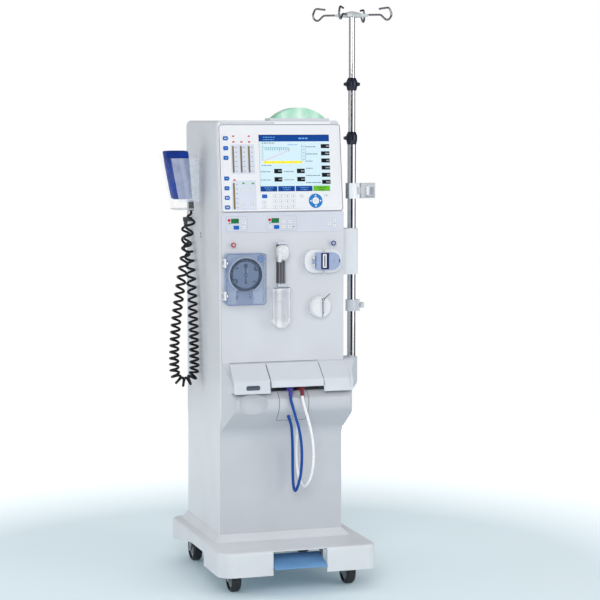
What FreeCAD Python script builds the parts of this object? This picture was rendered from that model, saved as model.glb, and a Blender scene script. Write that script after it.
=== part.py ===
"""A dialysis machine on castors with its infusion pole, cuff pocket and rinse tubes.

Lengths are millimetres. X runs to the machine's left-to-right as seen from the front, Y to the
back and Z up. The origin lies on the floor below the middle of the base.
"""
import FreeCAD, Part
import math
import os
import Sketcher
from FreeCAD import Rotation, Vector

doc = FreeCAD.newDocument("dialysis_machine")
sheet = doc.addObject("Spreadsheet::Sheet", "Sizes")
rows = []


class Size:
    """A value together with the sheet expression that gives it."""

    def __init__(self, value, text):
        self.value = float(value)
        self.text = text

    def __add__(self, other):
        other = as_size(other)
        return Size(self.value + other.value, "(%s + %s)" % (self.text, other.text))

    def __sub__(self, other):
        other = as_size(other)
        return Size(self.value - other.value, "(%s - %s)" % (self.text, other.text))

    def __mul__(self, other):
        other = as_size(other)
        return Size(self.value * other.value, "(%s * %s)" % (self.text, other.text))

    def __truediv__(self, other):
        other = as_size(other)
        return Size(self.value / other.value, "(%s / %s)" % (self.text, other.text))

    def __radd__(self, other):
        return as_size(other) + self

    def __rsub__(self, other):
        return as_size(other) - self

    def __rmul__(self, other):
        return as_size(other) * self

    def __neg__(self):
        return Size(-self.value, "(0 - %s)" % self.text)

    def __float__(self):
        return self.value


def as_size(amount):
    """Gives a plain number the form of a size."""
    if isinstance(amount, Size):
        return amount
    return Size(amount, "(%r)" % float(amount))


def size(name, value):
    """Puts one driving value into the sheet under its own name."""
    rows.append(name)
    row = str(len(rows))
    sheet.set("A" + row, name)
    sheet.set("B" + row, str(value))
    sheet.setAlias("B" + row, name)
    return Size(value, "Sizes." + name)


# Casing
casing_width = size("casing_width", 380)
casing_front = size("casing_front", -125)
casing_back = size("casing_back", 273)
casing_wall = size("casing_wall", 5)
casing_round = size("casing_round", 12)
casing_lip = size("casing_lip", 24)
column_front = size("column_front", -108)
panel_inset = size("panel_inset", 2)
panel_thick = size("panel_thick", 6)
panel_gap = size("panel_gap", 0.3)
monitor_lean = size("monitor_lean", 7.5)
monitor_height = size("monitor_height", 266)
bezel_border = size("bezel_border", 9)
bezel_ledge = size("bezel_ledge", 4)
key_panel_thick = size("key_panel_thick", 4.5)
screen_wide = size("screen_wide", 217)
screen_middle = size("screen_middle", 42)
screen_foot = size("screen_foot", 62)
screen_rim = size("screen_rim", 8)
screen_depth = size("screen_depth", 12)
ring_radius = size("ring_radius", 21)
ring_across = size("ring_across", 102)
ring_up = size("ring_up", 31)
ring_thick = size("ring_thick", 3)
ring_travel = size("ring_travel", 0.8)
lamp_across = size("lamp_across", 71)
lamp_half = size("lamp_half", 80)
lamp_apex = size("lamp_apex", 66)
lamp_bow = size("lamp_bow", 116)
lamp_seat = size("lamp_seat", 7)
lamp_margin = size("lamp_margin", 12)
lamp_front = size("lamp_front", -66)
lamp_back = size("lamp_back", -20)
fittings_rise = size("fittings_rise", 140)
inlet_across = size("inlet_across", 83)
water_across = size("water_across", -120)
water_radius = size("water_radius", 6.5)
drain_across = size("drain_across", -76)
drain_radius = size("drain_radius", 5.5)
nipple_out = size("nipple_out", 26)
louvre_half = size("louvre_half", 110)
louvre_high = size("louvre_high", 7)
louvre_step = size("louvre_step", 17)
louvre_low = size("louvre_low", 250)
louvre_drop = size("louvre_drop", 190)
wall_back = size("wall_back", 58)
wall_thick = size("wall_thick", 4)
flange_reach = size("flange_reach", 30)

# Base and castors
base_width = size("base_width", 481)
base_front = size("base_front", -300)
base_back = size("base_back", 300)
base_foot = size("base_foot", 60)
base_wall = size("base_wall", 5)
base_round = size("base_round", 42)
base_edge_round = size("base_edge_round", 9)
plinth_inset = size("plinth_inset", 20)
notch_half = size("notch_half", 82)
arch_front = size("arch_front", -112)
arch_bend = size("arch_bend", 40)
arch_tail = size("arch_tail", 62)
deck_thick = size("deck_thick", 8)
boss_radius = size("boss_radius", 22)
wheel_radius = size("wheel_radius", 40)
wheel_width = size("wheel_width", 28)
castor_trail = size("castor_trail", 18)
fork_wall = size("fork_wall", 4)
stem_radius = size("stem_radius", 7)
axle_radius = size("axle_radius", 5)
pedal_gap = size("pedal_gap", 3)
pedal_shaft = size("pedal_shaft", 5)
pedal_thick = size("pedal_thick", 6)

# Hydraulics block and its lids
block_front = size("block_front", -186)
block_wall = size("block_wall", 6)
recess_back = size("recess_back", -131)
lid_crease_front = size("lid_crease_front", -192)
lid_thick = size("lid_thick", 4)
lid_barrel = size("lid_barrel", 3)
lid_left = size("lid_left", -166)
lid_seam_left = size("lid_seam_left", -55)
lid_seam_right = size("lid_seam_right", 108)
flap_proud = size("flap_proud", 4)
shoulder_right = size("shoulder_right", 247)
shoulder_back = size("shoulder_back", -50)
scoop_across = size("scoop_across", -107)
scoop_radius = size("scoop_radius", 54)
insert_left = size("insert_left", -30)
insert_right = size("insert_right", 63)
connector_radius = size("connector_radius", 9)
connector_front = size("connector_front", -188)
nose_radius = size("nose_radius", 6)
tube_start = size("tube_start", -191)

# Front devices
door_left = size("door_left", -180)
door_right = size("door_right", -62)
door_front = size("door_front", -166)
door_wall = size("door_wall", 3)
door_round = size("door_round", 8)
pump_across = size("pump_across", -121)
pump_plate = size("pump_plate", 8)
stator_radius = size("stator_radius", 49)
track_wall = size("track_wall", 4)
rotor_radius = size("rotor_radius", 38)
rotor_thick = size("rotor_thick", 14)
roller_radius = size("roller_radius", 8)
roller_reach = size("roller_reach", 38)
rods_middle = size("rods_middle", -8)
rod_radius = size("rod_radius", 3)
rod_step = size("rod_step", 7.5)
rod_out = size("rod_out", 14)
cup_middle = size("cup_middle", -14)
cup_radius = size("cup_radius", 28)
cup_wall = size("cup_wall", 2.5)
cup_depth = size("cup_depth", 32)
carriage_half = size("carriage_half", 21)
carriage_out = size("carriage_out", 34)
detector_left = size("detector_left", 62)
detector_right = size("detector_right", 176)
detector_out = size("detector_out", 16)
flap_left = size("flap_left", 94)
flap_right = size("flap_right", 168)
flap_thick = size("flap_thick", 13)
level_across = size("level_across", 112)
level_radius = size("level_radius", 33)
level_out = size("level_out", 20)
lever_across = size("lever_across", 117)
lever_reach = size("lever_reach", 27)
wire_radius = size("wire_radius", 1.3)
port_across = size("port_across", 153.5)

# Infusion pole
pole_across = size("pole_across", 232)
pole_back = size("pole_back", -75)
pole_lower_radius = size("pole_lower_radius", 12.5)
pole_middle_radius = size("pole_middle_radius", 10.5)
pole_upper_radius = size("pole_upper_radius", 9)
pole_play = size("pole_play", 0.25)
collar_radius = size("collar_radius", 16.5)
collar_height = size("collar_height", 38)
wing_reach = size("wing_reach", 24)
hub_thick = size("hub_thick", 7)
hub_radius = size("hub_radius", 30)
hook_reach = size("hook_reach", 127)
hook_wire = size("hook_wire", 3)
bracket_right = size("bracket_right", 247)
bracket_half = size("bracket_half", 24)
holder_radius = size("holder_radius", 18)
web_half = size("web_half", 7)
arm_left = size("arm_left", 257)
arm_right = size("arm_right", 305)

# Cuff pocket, cuff and hoses
pocket_left_top = size("pocket_left_top", -315)
pocket_left_foot = size("pocket_left_foot", -280)
pocket_right = size("pocket_right", -206)
pocket_front = size("pocket_front", 52)
pocket_back = size("pocket_back", 112)
pocket_wall = size("pocket_wall", 3)
cuff_rise = size("cuff_rise", 14)
hose_radius = size("hose_radius", 17)
tube_radius = size("tube_radius", 4.3)
tube_blue_exit = size("tube_blue_exit", 4)
tube_clear_exit = size("tube_clear_exit", 40)
tube_blue_port = size("tube_blue_port", 5)
port_depth = size("port_depth", 26)
tube_clear_port = size("tube_clear_port", 28)
socket_back = size("socket_back", 205)
socket_out = size("socket_out", 19)
fitting_across = size("fitting_across", -223)
fitting_back = size("fitting_back", 82)
fitting_out = size("fitting_out", 3)
cuff_side_top = size("cuff_side_top", 22)
cuff_side_foot = size("cuff_side_foot", 11)
hydraulics_half = size("hydraulics_half", 105)
hydraulics_depth = size("hydraulics_depth", 98)
hydraulics_rise = size("hydraulics_rise", 150)
hydraulics_height = size("hydraulics_height", 260)
heater_radius = size("heater_radius", 35)
heater_height = size("heater_height", 140)
gear_pump_radius = size("gear_pump_radius", 28)
gear_pump_height = size("gear_pump_height", 80)

# Places that follow the outside of the base and the monitor
castor_across = base_width / 2 - size("castor_inset", 64.5)
castor_front = base_front + size("castor_front_inset", 75)
castor_back = base_back - size("castor_back_inset", 85)
deck_half = base_width / 2 - size("deck_inset", 35.5)
deck_reach = base_back - size("deck_end_inset", 38)
arch_back = base_back - size("arch_inset", 16)
pedal_pivot_back = base_front + size("pedal_pivot_inset", 74)
pedal_tip_front = base_front - size("pedal_out", 13)
screen_high = monitor_height - screen_foot - size("screen_margin", 39)

# Heights, each from a neighbour by a named step
base_edge = base_foot + size("base_rise", 72)
notch_top = base_edge - size("notch_lintel", 3)
arch_top = wheel_radius * 2 + size("arch_clear", 20)
boss_foot = wheel_radius * 2 + size("boss_clear", 12)
pedal_pivot_up = base_edge - size("pedal_pivot_drop", 34)
pedal_tip_up = pedal_pivot_up - size("pedal_tip_drop", 19)
casing_foot = base_edge + size("plinth_rise", 18)
column_knee = casing_foot + size("column_rise", 300)
block_tuck = column_knee + size("tuck_rise", 75)
block_bulge = block_tuck + size("bulge_rise", 31)
block_shelf = block_bulge + size("shelf_rise", 22)
insert_foot = block_tuck - size("insert_drop", 37)
tube_port_up = insert_foot + size("tube_port_rise", 15)
nose_foot = block_shelf - size("nose_drop", 12)
lid_foot = block_shelf - size("lid_overlap", 2)
flap_foot = lid_foot + size("flap_short", 17)
lid_crease_up = lid_foot + size("lip_height", 37)
lid_top = lid_crease_up + size("lid_rise", 45)
panel_foot = lid_top + size("lid_clear", 4)
door_foot = panel_foot + size("door_rise", 172)
door_top = door_foot + size("door_height", 151)
pump_up = door_foot + size("pump_rise", 88)
rods_foot = panel_foot + size("rods_rise", 223)
rods_top = rods_foot + size("rods_height", 131)
carriage_foot = rods_foot + size("carriage_rise", 72)
carriage_top = carriage_foot + size("carriage_height", 51)
cup_top = rods_foot - size("cup_clear", 2)
cup_foot = cup_top - size("cup_height", 120)
detector_foot = panel_foot + size("detector_rise", 261)
detector_top = detector_foot + size("detector_height", 68)
flap_low = detector_foot + size("flap_margin_low", 9)
flap_high = detector_top - size("flap_margin_high", 8)
level_up = panel_foot + size("level_rise", 159)
lever_up = level_up + size("lever_rise", 22)
port_up = door_top + size("port_rise", 24)
strip_foot = port_up + size("strip_rise", 35)
monitor_foot = strip_foot + size("strip_height", 59)
casing_top = monitor_foot + monitor_height + size("top_margin", 1)
pole_foot = lid_foot + size("socket_floor", 24)
pole_lower_top = casing_top - size("lower_tube_drop", 52)
pole_middle_foot = pole_lower_top - size("middle_tube_sunk", 308)
pole_middle_top = pole_lower_top + size("middle_tube_out", 160)
pole_upper_foot = pole_middle_top - size("upper_tube_sunk", 128)
pole_upper_top = pole_middle_top + size("upper_tube_out", 198)
bracket_top = strip_foot + size("bracket_rise", 5)
bracket_foot = bracket_top - size("bracket_height", 137)
holder_foot = bracket_top + size("holder_rise", 89)
holder_top = holder_foot + size("holder_height", 46)
thumb_foot = panel_foot + size("thumb_rise", 138)
thumb_top = thumb_foot + size("thumb_height", 34)
pocket_top = casing_top - size("pocket_drop", 100)
pocket_foot = pocket_top - size("pocket_height", 166)
cuff_foot = pocket_foot + size("cuff_lift", 28)
socket_up = pocket_foot - size("socket_drop", 35)

half_width = casing_width / 2
panel_half = half_width - panel_inset
panel_face = casing_front - panel_thick
doc.recompute()


def bind(thing, path, amount):
    """Ties one property to the sheet."""
    thing.setExpression(path, as_size(amount).text)


AXES = {"x": Vector(1, 0, 0), "y": Vector(0, 1, 0), "z": Vector(0, 0, 1)}


def place(thing, at=(0, 0, 0), about="z", angle=0):
    """Moves a thing to a point and turns it about one axis."""
    start = as_size(angle)
    thing.Placement = FreeCAD.Placement(Vector(*[float(v) for v in at]), Rotation(AXES[about], 1))
    for letter, amount in zip("xyz", at):
        bind(thing, "Placement.Base." + letter, amount)
        bind(thing, "Placement.Rotation.Axis." + letter, 1 if letter == about else 0)
    bind(thing, "Placement.Rotation.Angle", start)
    return thing


def block(name, x, y, z):
    """A box between two values along each axis."""
    thing = doc.addObject("Part::Box", name)
    for path, (low, high) in zip(("Length", "Width", "Height"), (x, y, z)):
        bind(thing, path, as_size(high) - low)
    return place(thing, (x[0], y[0], z[0]))


def rod(name, along, centre, span, radius, tip=None):
    """A cylinder, or a cone where it has a tip radius, along one axis between two values."""
    kind = "Part::Cylinder" if tip is None else "Part::Cone"
    thing = doc.addObject(kind, name)
    if tip is None:
        bind(thing, "Radius", radius)
    else:
        bind(thing, "Radius1", radius)
        bind(thing, "Radius2", tip)
    bind(thing, "Height", as_size(span[1]) - span[0])
    first, second = centre
    if along == "x":
        return place(thing, (span[0], first, second), "y", 90)
    if along == "y":
        return place(thing, (first, span[0], second), "x", -90)
    return place(thing, (first, second, span[0]))


def ball(name, centre, radius):
    """A sphere round a point."""
    thing = doc.addObject("Part::Sphere", name)
    bind(thing, "Radius", radius)
    return place(thing, centre)


def fuse(name, *parts):
    """One solid from several that touch or overlap."""
    thing = doc.addObject("Part::MultiFuse", name)
    thing.Shapes = list(parts)
    thing.Refine = True
    return thing


def group(name, *parts):
    """Separate solids of one kind kept together."""
    thing = doc.addObject("Part::Compound", name)
    thing.Links = list(parts)
    return thing


def common(name, *parts):
    """What all of the parts share."""
    thing = doc.addObject("Part::MultiCommon", name)
    thing.Shapes = list(parts)
    thing.Refine = True
    return thing


def cut(name, base, *tools):
    """The base without the tools."""
    thing = doc.addObject("Part::Cut", name)
    thing.Base = base
    thing.Tool = tools[0] if len(tools) == 1 else fuse(name + "_tools", *tools)
    thing.Refine = True
    return thing


def plane_of(body, role):
    """One of a body's own origin planes."""
    return next(item for item in body.Origin.OriginFeatures if item.Role == role)


def rounded_corner(before, corner, after, radius):
    """The two tangent points and the centre of an arc in a corner."""
    inward = (before - corner).normalize()
    outward = (after - corner).normalize()
    half = inward.getAngle(outward) / 2
    reach = radius / math.tan(half)
    middle = (inward + outward).normalize() * (radius / math.sin(half))
    return corner + inward * reach, corner + outward * reach, corner + middle


def outline(body, role, level, corners):
    """A closed sketch through corners, each (u, v) or (u, v, radius), at a level of a plane."""
    sketch = body.newObject("Sketcher::SketchObject", body.Name + "_outline")
    sketch.AttachmentSupport = [(plane_of(body, role), "")]
    sketch.MapMode = "FlatFace"
    bind(sketch, "AttachmentOffset.Base.z", level)
    spots = [Vector(float(c[0]), float(c[1]), 0) for c in corners]
    count = len(spots)
    starts, ends, arcs = [], [], []
    for index, spot in enumerate(spots):
        before, after = spots[index - 1], spots[(index + 1) % count]
        if len(corners[index]) > 2:
            first, second, centre = rounded_corner(before, spot, after, float(corners[index][2]))
            turn = (spot - before).cross(after - spot).z
            arcs.append((first, second, centre, turn > 0))
        else:
            first, second = spot, spot
            arcs.append(None)
        ends.append(first)
        starts.append(second)
    lines = []
    for index in range(count):
        following = (index + 1) % count
        lines.append(sketch.addGeometry(Part.LineSegment(starts[index], ends[following]), False))
    rules, ties = [], []

    def tie(kind, geometry, point, value, amount):
        ties.append((len(rules), amount))
        rules.append(Sketcher.Constraint(kind, -1, 1, geometry, point, value))

    for index, spot in enumerate(spots):
        arriving, leaving = lines[index - 1], lines[index]
        if arcs[index] is None:
            rules.append(Sketcher.Constraint("Coincident", arriving, 2, leaving, 1))
            tie("DistanceX", leaving, 1, spot.x, corners[index][0])
            tie("DistanceY", leaving, 1, spot.y, corners[index][1])
            continue
        first, second, centre, left = arcs[index]
        radius = (first - centre).Length
        from_angle = math.atan2(*(first - centre)[1::-1]) if left else math.atan2(*(second - centre)[1::-1])
        to_angle = math.atan2(*(second - centre)[1::-1]) if left else math.atan2(*(first - centre)[1::-1])
        circle = Part.Circle(centre, Vector(0, 0, 1), radius)
        arc = sketch.addGeometry(Part.ArcOfCircle(circle, from_angle, to_angle), False)
        mark = sketch.addGeometry(Part.Point(spot), True)
        rules.append(Sketcher.Constraint("Tangent", arriving, 2, arc, 1 if left else 2))
        rules.append(Sketcher.Constraint("Tangent", arc, 2 if left else 1, leaving, 1))
        rules.append(Sketcher.Constraint("PointOnObject", mark, 1, arriving))
        rules.append(Sketcher.Constraint("PointOnObject", mark, 1, leaving))
        tie("DistanceX", mark, 1, spot.x, corners[index][0])
        tie("DistanceY", mark, 1, spot.y, corners[index][1])
        ties.append((len(rules), corners[index][2]))
        rules.append(Sketcher.Constraint("Radius", arc, radius))
    sketch.addConstraint(rules)
    for position, amount in ties:
        bind(sketch, "Constraints[%d]" % position, amount)
    return sketch


def prism(name, plane, corners, span):
    """A body whose outline lies in the XY, XZ or YZ plane and runs between two values across it."""
    body = doc.addObject("PartDesign::Body", name)
    low, high = as_size(span[0]), as_size(span[1])
    level = -high if plane == "XZ" else low
    sketch = outline(body, plane + "_Plane", level, corners)
    pad = body.newObject("PartDesign::Pad", name + "_pad")
    pad.Profile = sketch
    bind(pad, "Length", high - low)
    return body


def turned(name, corners, at=(0, 0, 0), about="z", angle=0):
    """A body turned about its own upright axis from a profile of (radius, height) corners."""
    body = doc.addObject("PartDesign::Body", name)
    sketch = outline(body, "XZ_Plane", 0, corners)
    turn = body.newObject("PartDesign::Revolution", name + "_turn")
    turn.Profile = sketch
    turn.ReferenceAxis = (sketch, ["V_Axis"])
    turn.Angle = 360
    return place(body, at, about, angle)


def pocket(body, plane, corners, span):
    """Cuts an outline out of a body between two values across a plane."""
    low, high = as_size(span[0]), as_size(span[1])
    sketch = outline(body, plane + "_Plane", -low if plane == "XZ" else low, corners)
    hole = body.newObject("PartDesign::Pocket", body.Name + "_pocket")
    hole.Profile = sketch
    bind(hole, "Length", high - low)
    hole.Reversed = plane != "XZ"
    return body


def soften(body, radius, wanted):
    """Rounds those edges of a body that the test picks."""
    doc.recompute()
    base = body.Tip
    names = ["Edge%d" % (i + 1) for i, edge in enumerate(base.Shape.Edges) if wanted(edge)]
    fillet = body.newObject("PartDesign::Fillet", body.Name + "_round")
    fillet.Base = (base, names)
    bind(fillet, "Radius", radius)
    return body


def lies(edge, axis, amount):
    """Whether all of an edge lies at one value along an axis."""
    box = edge.BoundBox
    low = getattr(box, axis.upper() + "Min")
    high = getattr(box, axis.upper() + "Max")
    return abs(low - float(amount)) < 1e-3 and abs(high - float(amount)) < 1e-3


def tangent(angle):
    """The tangent of an angle in degrees."""
    return Size(math.tan(math.radians(angle.value)), "tan(%s * 1 deg)" % angle.text)


def loft(body, lower, upper):
    """Adds a tapering solid between two outlines, each (height, corners), to a body."""
    first = outline(body, "XY_Plane", lower[0], lower[1])
    second = outline(body, "XY_Plane", upper[0], upper[1])
    thing = body.newObject("PartDesign::AdditiveLoft", body.Name + "_loft")
    thing.Profile = first
    thing.Sections = [second]
    thing.Ruled = True
    return body


def rectangle(left, right, low, high, radius=None):
    """Four corners, rounded where a radius is given."""
    corners = [(left, low), (right, low), (right, high), (left, high)]
    return corners if radius is None else [corner + (radius,) for corner in corners]


pieces = []


def keep(thing, name):
    """Names a finished sub-part and lists it for writing."""
    thing.Label = name
    pieces.append(thing)
    return thing


def make_base():
    """The moulded cover with its skirt, wheel arches and pedal notch, and the steel deck in it."""
    half = base_width / 2
    inner = half - base_wall
    deck_top = base_edge - base_wall
    cover = prism("base_cover_body", "XY", rectangle(-half, half, base_front, base_back, base_round),
                  (base_foot, base_edge))
    soften(cover, base_edge_round, lambda edge: lies(edge, "z", base_edge))
    foot = rectangle(-half_width - plinth_inset, half_width + plinth_inset,
                     column_front - plinth_inset * 2, casing_back + plinth_inset / 2, 20)
    seat = rectangle(-half_width - 2, half_width + 2, column_front - panel_thick - 2, casing_back + 6, 12)
    loft(cover, (base_edge, foot), (casing_foot, seat))
    pocket(cover, "XY", rectangle(-inner, inner, base_front + base_wall, base_back - base_wall,
                                  base_round - base_wall), (base_foot, deck_top))
    pocket(cover, "XY", rectangle(-half_width + 15, half_width - 15, column_front + 15, casing_back - 15),
           (deck_top, casing_foot - base_wall))
    notch = block("base_notch", (-notch_half, notch_half), (base_front - 1, base_front + base_wall * 3),
                  (base_foot - 1, notch_top))
    arch = [(arch_front, base_foot - 1), (arch_front, arch_top, 8), (arch_bend, arch_top, 30),
            (arch_back, arch_tail), (arch_back, base_foot - 1)]
    arches = prism("base_arches", "YZ", arch[::-1], (-half - 1, half + 1))
    keep(cut("base_cover", cover, notch, arches), "base_cover")

    plate = block("deck_plate", (-deck_half, deck_half), (-deck_reach, deck_reach),
                  (deck_top - deck_thick, deck_top))
    bosses = [rod("deck_boss", "z", spot, (boss_foot, deck_top - deck_thick), boss_radius)
              for spot in castor_spots.values()]
    lugs = [block("pedal_lug", (side - 3, side + 3), (pedal_pivot_back - 9, pedal_pivot_back + 9),
                  (pedal_pivot_up - 9, deck_top - deck_thick)) for side in (-notch_half - 5, notch_half + 5)]
    shaft = rod("pedal_shaft", "x", (pedal_pivot_back, pedal_pivot_up),
                (-notch_half - 5, notch_half + 5), pedal_shaft)
    room = block("deck_notch", (-notch_half - 2, notch_half + 2), (-deck_reach - 1, pedal_pivot_back + 14),
                 (boss_foot, deck_top + 1))
    bores = [rod("stem_bore", "z", spot, (boss_foot - 1, deck_top - 2), stem_radius + pole_play)
             for spot in castor_spots.values()]
    frame = cut("deck_cut", fuse("deck_solid", plate, *bosses), room, *bores)
    keep(fuse("base_frame", frame, shaft, *lugs), "base_frame")


castor_spots = {
    "front_left": (-castor_across, castor_front),
    "front_right": (castor_across, castor_front),
    "rear_left": (-castor_across, castor_back),
    "rear_right": (castor_across, castor_back),
}


def make_castor(corner, spot):
    """A swivelling fork with its stem and axle, and the wheel that trails behind the stem."""
    x, y = spot
    axle_back = y + castor_trail
    leg_in = wheel_width / 2 + 1
    leg_out = leg_in + fork_wall
    crown_foot = wheel_radius * 2 + 3
    crown_top = boss_foot - panel_gap
    arm = [(y - 13, crown_top), (y - 13, crown_foot - 4, 6), (axle_back - 8, wheel_radius - 9, 7),
           (axle_back + 10, wheel_radius - 9, 8), (y + 17, crown_top)]
    legs = [prism("fork_leg", "YZ", arm, span) for span in
            ((x - leg_out, x - leg_in), (x + leg_in, x + leg_out))]
    crown = block("fork_crown", (x - leg_out, x + leg_out), (y - 13, y + 17), (crown_foot, crown_top))
    stem = rod("fork_stem", "z", spot, (crown_foot, base_edge - base_wall - 4), stem_radius)
    axle = rod("fork_axle", "x", (axle_back, wheel_radius), (x - leg_out - 1, x + leg_out + 1), axle_radius)
    keep(fuse("castor_fork_" + corner, crown, stem, axle, *legs), "castor_fork_" + corner)
    half = wheel_width / 2
    bore = axle_radius + pole_play
    profile = [(bore, -half + 1), (15, -half + 1), (18, -half + 5), (29, -half + 5), (31, -half),
               (wheel_radius - 4, -half), (wheel_radius, -half + 5), (wheel_radius, half - 5),
               (wheel_radius - 4, half), (31, half), (29, half - 5), (18, half - 5), (15, half - 1),
               (bore, half - 1)]
    keep(turned("wheel_" + corner, profile, (x, axle_back, wheel_radius), "y", 90), "wheel_" + corner)


def make_pedal():
    """The ribbed foot plate of the central brake on its shaft."""
    half = notch_half - pedal_gap
    back, up = pedal_pivot_back, pedal_pivot_up
    side = [(back, up + 9), (back - 10, up + 8, 6),
            (pedal_tip_front + 12, pedal_tip_up + pedal_thick + 2, 20),
            (pedal_tip_front, pedal_tip_up + pedal_thick - 3), (pedal_tip_front, pedal_tip_up - 2, 3),
            (back - 14, up - 6, 10), (back, up - 9)]
    plate = prism("pedal_plate", "YZ", side, (-half, half))
    hub = rod("pedal_hub", "x", (back, up), (-half, half), 9)
    bore = rod("pedal_bore", "x", (back, up), (-half - 1, half + 1), pedal_shaft + pole_play)
    keep(cut("brake_pedal", fuse("pedal_solid", plate, hub), bore), "brake_pedal")


def shell_outline(inset):
    """The side view of the casing, drawn in by an inset everywhere but at its foot."""
    top_front = casing_front + tangent(monitor_lean) * (casing_top - monitor_foot)
    knee = 40 - inset
    return [(column_front + inset, casing_foot), (column_front + inset, column_knee + 10, knee),
            (casing_front + inset, column_knee + 50, knee), (casing_front + inset, monitor_foot, 60),
            (top_front + inset, casing_top - inset, 14 - inset),
            (casing_back - inset, casing_top - inset, 22 - inset), (casing_back - inset, casing_foot)]


def make_shells():
    """The two tray-shaped side panels, the top and rear covers and the upright plate between them."""
    for name, side in (("side_shell_left", -1), ("side_shell_right", 1)):
        outer = half_width * side
        inner = (half_width - casing_lip) * side
        span = (outer, inner) if side < 0 else (inner, outer)
        shell = prism(name, "YZ", shell_outline(0), span)
        soften(shell, casing_round, lambda edge, at=outer: lies(edge, "x", at) and
               not lies(edge, "z", casing_foot))
        hollow = (outer + casing_wall, inner) if side < 0 else (inner, outer - casing_wall)
        pocket(shell, "YZ", shell_outline(casing_wall), hollow)
        keep(shell, name)
    inner_half = half_width - casing_lip - panel_gap
    top_front = casing_front + tangent(monitor_lean) * (casing_top - monitor_foot) + 3
    lid = block("top_plate", (-inner_half, inner_half), (top_front, casing_back),
                (casing_top - casing_wall, casing_top))
    seat = block("lamp_seat", (lamp_across - lamp_half - lamp_margin, lamp_across + lamp_half + lamp_margin),
                 (lamp_front - 4, lamp_back + 4), (casing_top - casing_wall, casing_top + lamp_seat))
    keep(fuse("top_cover", lid, seat), "top_cover")
    foot = casing_top + lamp_seat
    arch = [(lamp_across - lamp_half, foot), (lamp_across + lamp_half, foot),
            (lamp_across, foot + lamp_apex, lamp_bow)]
    dome = prism("lamp_dome", "XZ", arch, (lamp_front, lamp_back))
    keep(dome, "lamp_dome")

    back = casing_back
    plate = prism("rear_plate", "XZ", rectangle(-half_width + 12, half_width - 12, casing_foot + 6,
                                                casing_top - 26, 10), (back, back + 4))
    up = casing_foot + fittings_rise
    inlet = block("mains_inlet", (inlet_across - 25, inlet_across + 25), (back, back + 12),
                  (up - 22, up + 12))
    water = rod("water_nipple", "y", (water_across, up), (back, back + nipple_out), water_radius)
    drain = rod("drain_nipple", "y", (drain_across, up), (back, back + nipple_out), drain_radius)
    slots = [block("louvre", (-louvre_half, louvre_half), (back - 1, back + 5),
                   (height, height + louvre_high))
             for height in [first + louvre_step * row
                            for first in (casing_foot + louvre_low, casing_top - louvre_drop)
                            for row in range(8)]]
    pins = block("inlet_recess", (inlet_across - 20, inlet_across + 20), (back + 2, back + 13),
                 (up - 17, up + 7))
    keep(cut("rear_cover", fuse("rear_solid", plate, inlet, water, drain), pins, *slots), "rear_cover")

    top = casing_top - casing_wall
    wall = block("upright_wall", (-inner_half, inner_half), (wall_back, wall_back + wall_thick),
                 (casing_foot, top))
    reach = (wall_back - flange_reach, wall_back + flange_reach)
    flanges = [block("upright_flange", (-inner_half, inner_half), reach, span) for span in
               ((casing_foot, casing_foot + wall_thick), (top - wall_thick, top))]
    keep(fuse("chassis_plate", wall, *flanges), "chassis_plate")


def make_front():
    """The flat front panels and the leaning monitor with its keys."""
    face = (panel_face, casing_front)
    keep(cut("front_panel", prism("front_panel_plate", "XZ",
                                  rectangle(-panel_half, panel_half, panel_foot,
                                            strip_foot - panel_gap), face),
             rod("motor_hole", "y", (pump_across, pump_up), (panel_face - 1, casing_front + 1),
                 8)), "front_panel")
    keep(prism("control_strip", "XZ", rectangle(-panel_half, panel_half, strip_foot,
                                                monitor_foot - panel_gap, 2), face), "control_strip")

    high = monitor_height
    opening = (bezel_border, high - bezel_border)
    side = panel_half - bezel_border
    bezel = prism("monitor_bezel", "XZ", rectangle(-panel_half, panel_half, 0, high, 10), (-panel_thick, 0))
    pocket(bezel, "XZ", rectangle(-side, side, opening[0], opening[1], 10),
           (-panel_thick, -panel_thick + key_panel_thick))
    ledge = bezel_ledge
    pocket(bezel, "XZ", rectangle(-side + ledge, side - ledge, opening[0] + ledge, opening[1] - ledge, 8),
           (-panel_thick + key_panel_thick, 0))
    back = -panel_thick + key_panel_thick
    gap = panel_gap
    panel = prism("key_panel_plate", "XZ",
                  rectangle(-side + gap, side - gap, opening[0] + gap, opening[1] - gap, 10),
                  (-panel_thick, back))
    left, right = screen_middle - screen_wide / 2, screen_middle + screen_wide / 2
    low, top = screen_foot, screen_foot + screen_high
    pocket(panel, "XZ", rectangle(left, right, low, top), (-panel_thick, back))
    recess = rod("ring_recess", "y", (ring_across, ring_up), (-panel_thick - 1, back - 1), ring_radius + gap)
    panel = cut("key_panel_cut", panel, recess)
    glass = block("display_glass", (left + gap, right - gap), (-panel_thick + gap, back + 1),
                  (low + gap, top - gap))
    rim = screen_rim
    module = block("display_module", (left - rim, right + rim), (back, back + screen_depth),
                   (low - rim, top + rim))
    display = fuse("display", glass, module)
    ring_front = -panel_thick - 1
    ring = cut("ring_cut",
               rod("ring_disc", "y", (ring_across, ring_up), (ring_front, ring_front + ring_thick),
                   ring_radius),
               rod("ring_dish", "y", (ring_across, ring_up), (ring_front - 1, ring_front + 0.8),
                   ring_radius / 2))
    for thing, name in ((bezel, "monitor_bezel"), (panel, "key_panel"), (display, "display"),
                        (ring, "arrow_ring")):
        place(thing, (0, casing_front, monitor_foot), "x", -monitor_lean)
        keep(thing, name)


def lid_outline(front, foot, thick, hinge):
    """The side view of a lid: a slope that falls forward from its rear and a lip that hangs down."""
    crease = front + 4
    return [(hinge, lid_top), (hinge, lid_top - thick),
            (crease + thick, lid_crease_up - thick, 6), (front + thick, foot), (front, foot),
            (crease, lid_crease_up, 10)]


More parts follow.
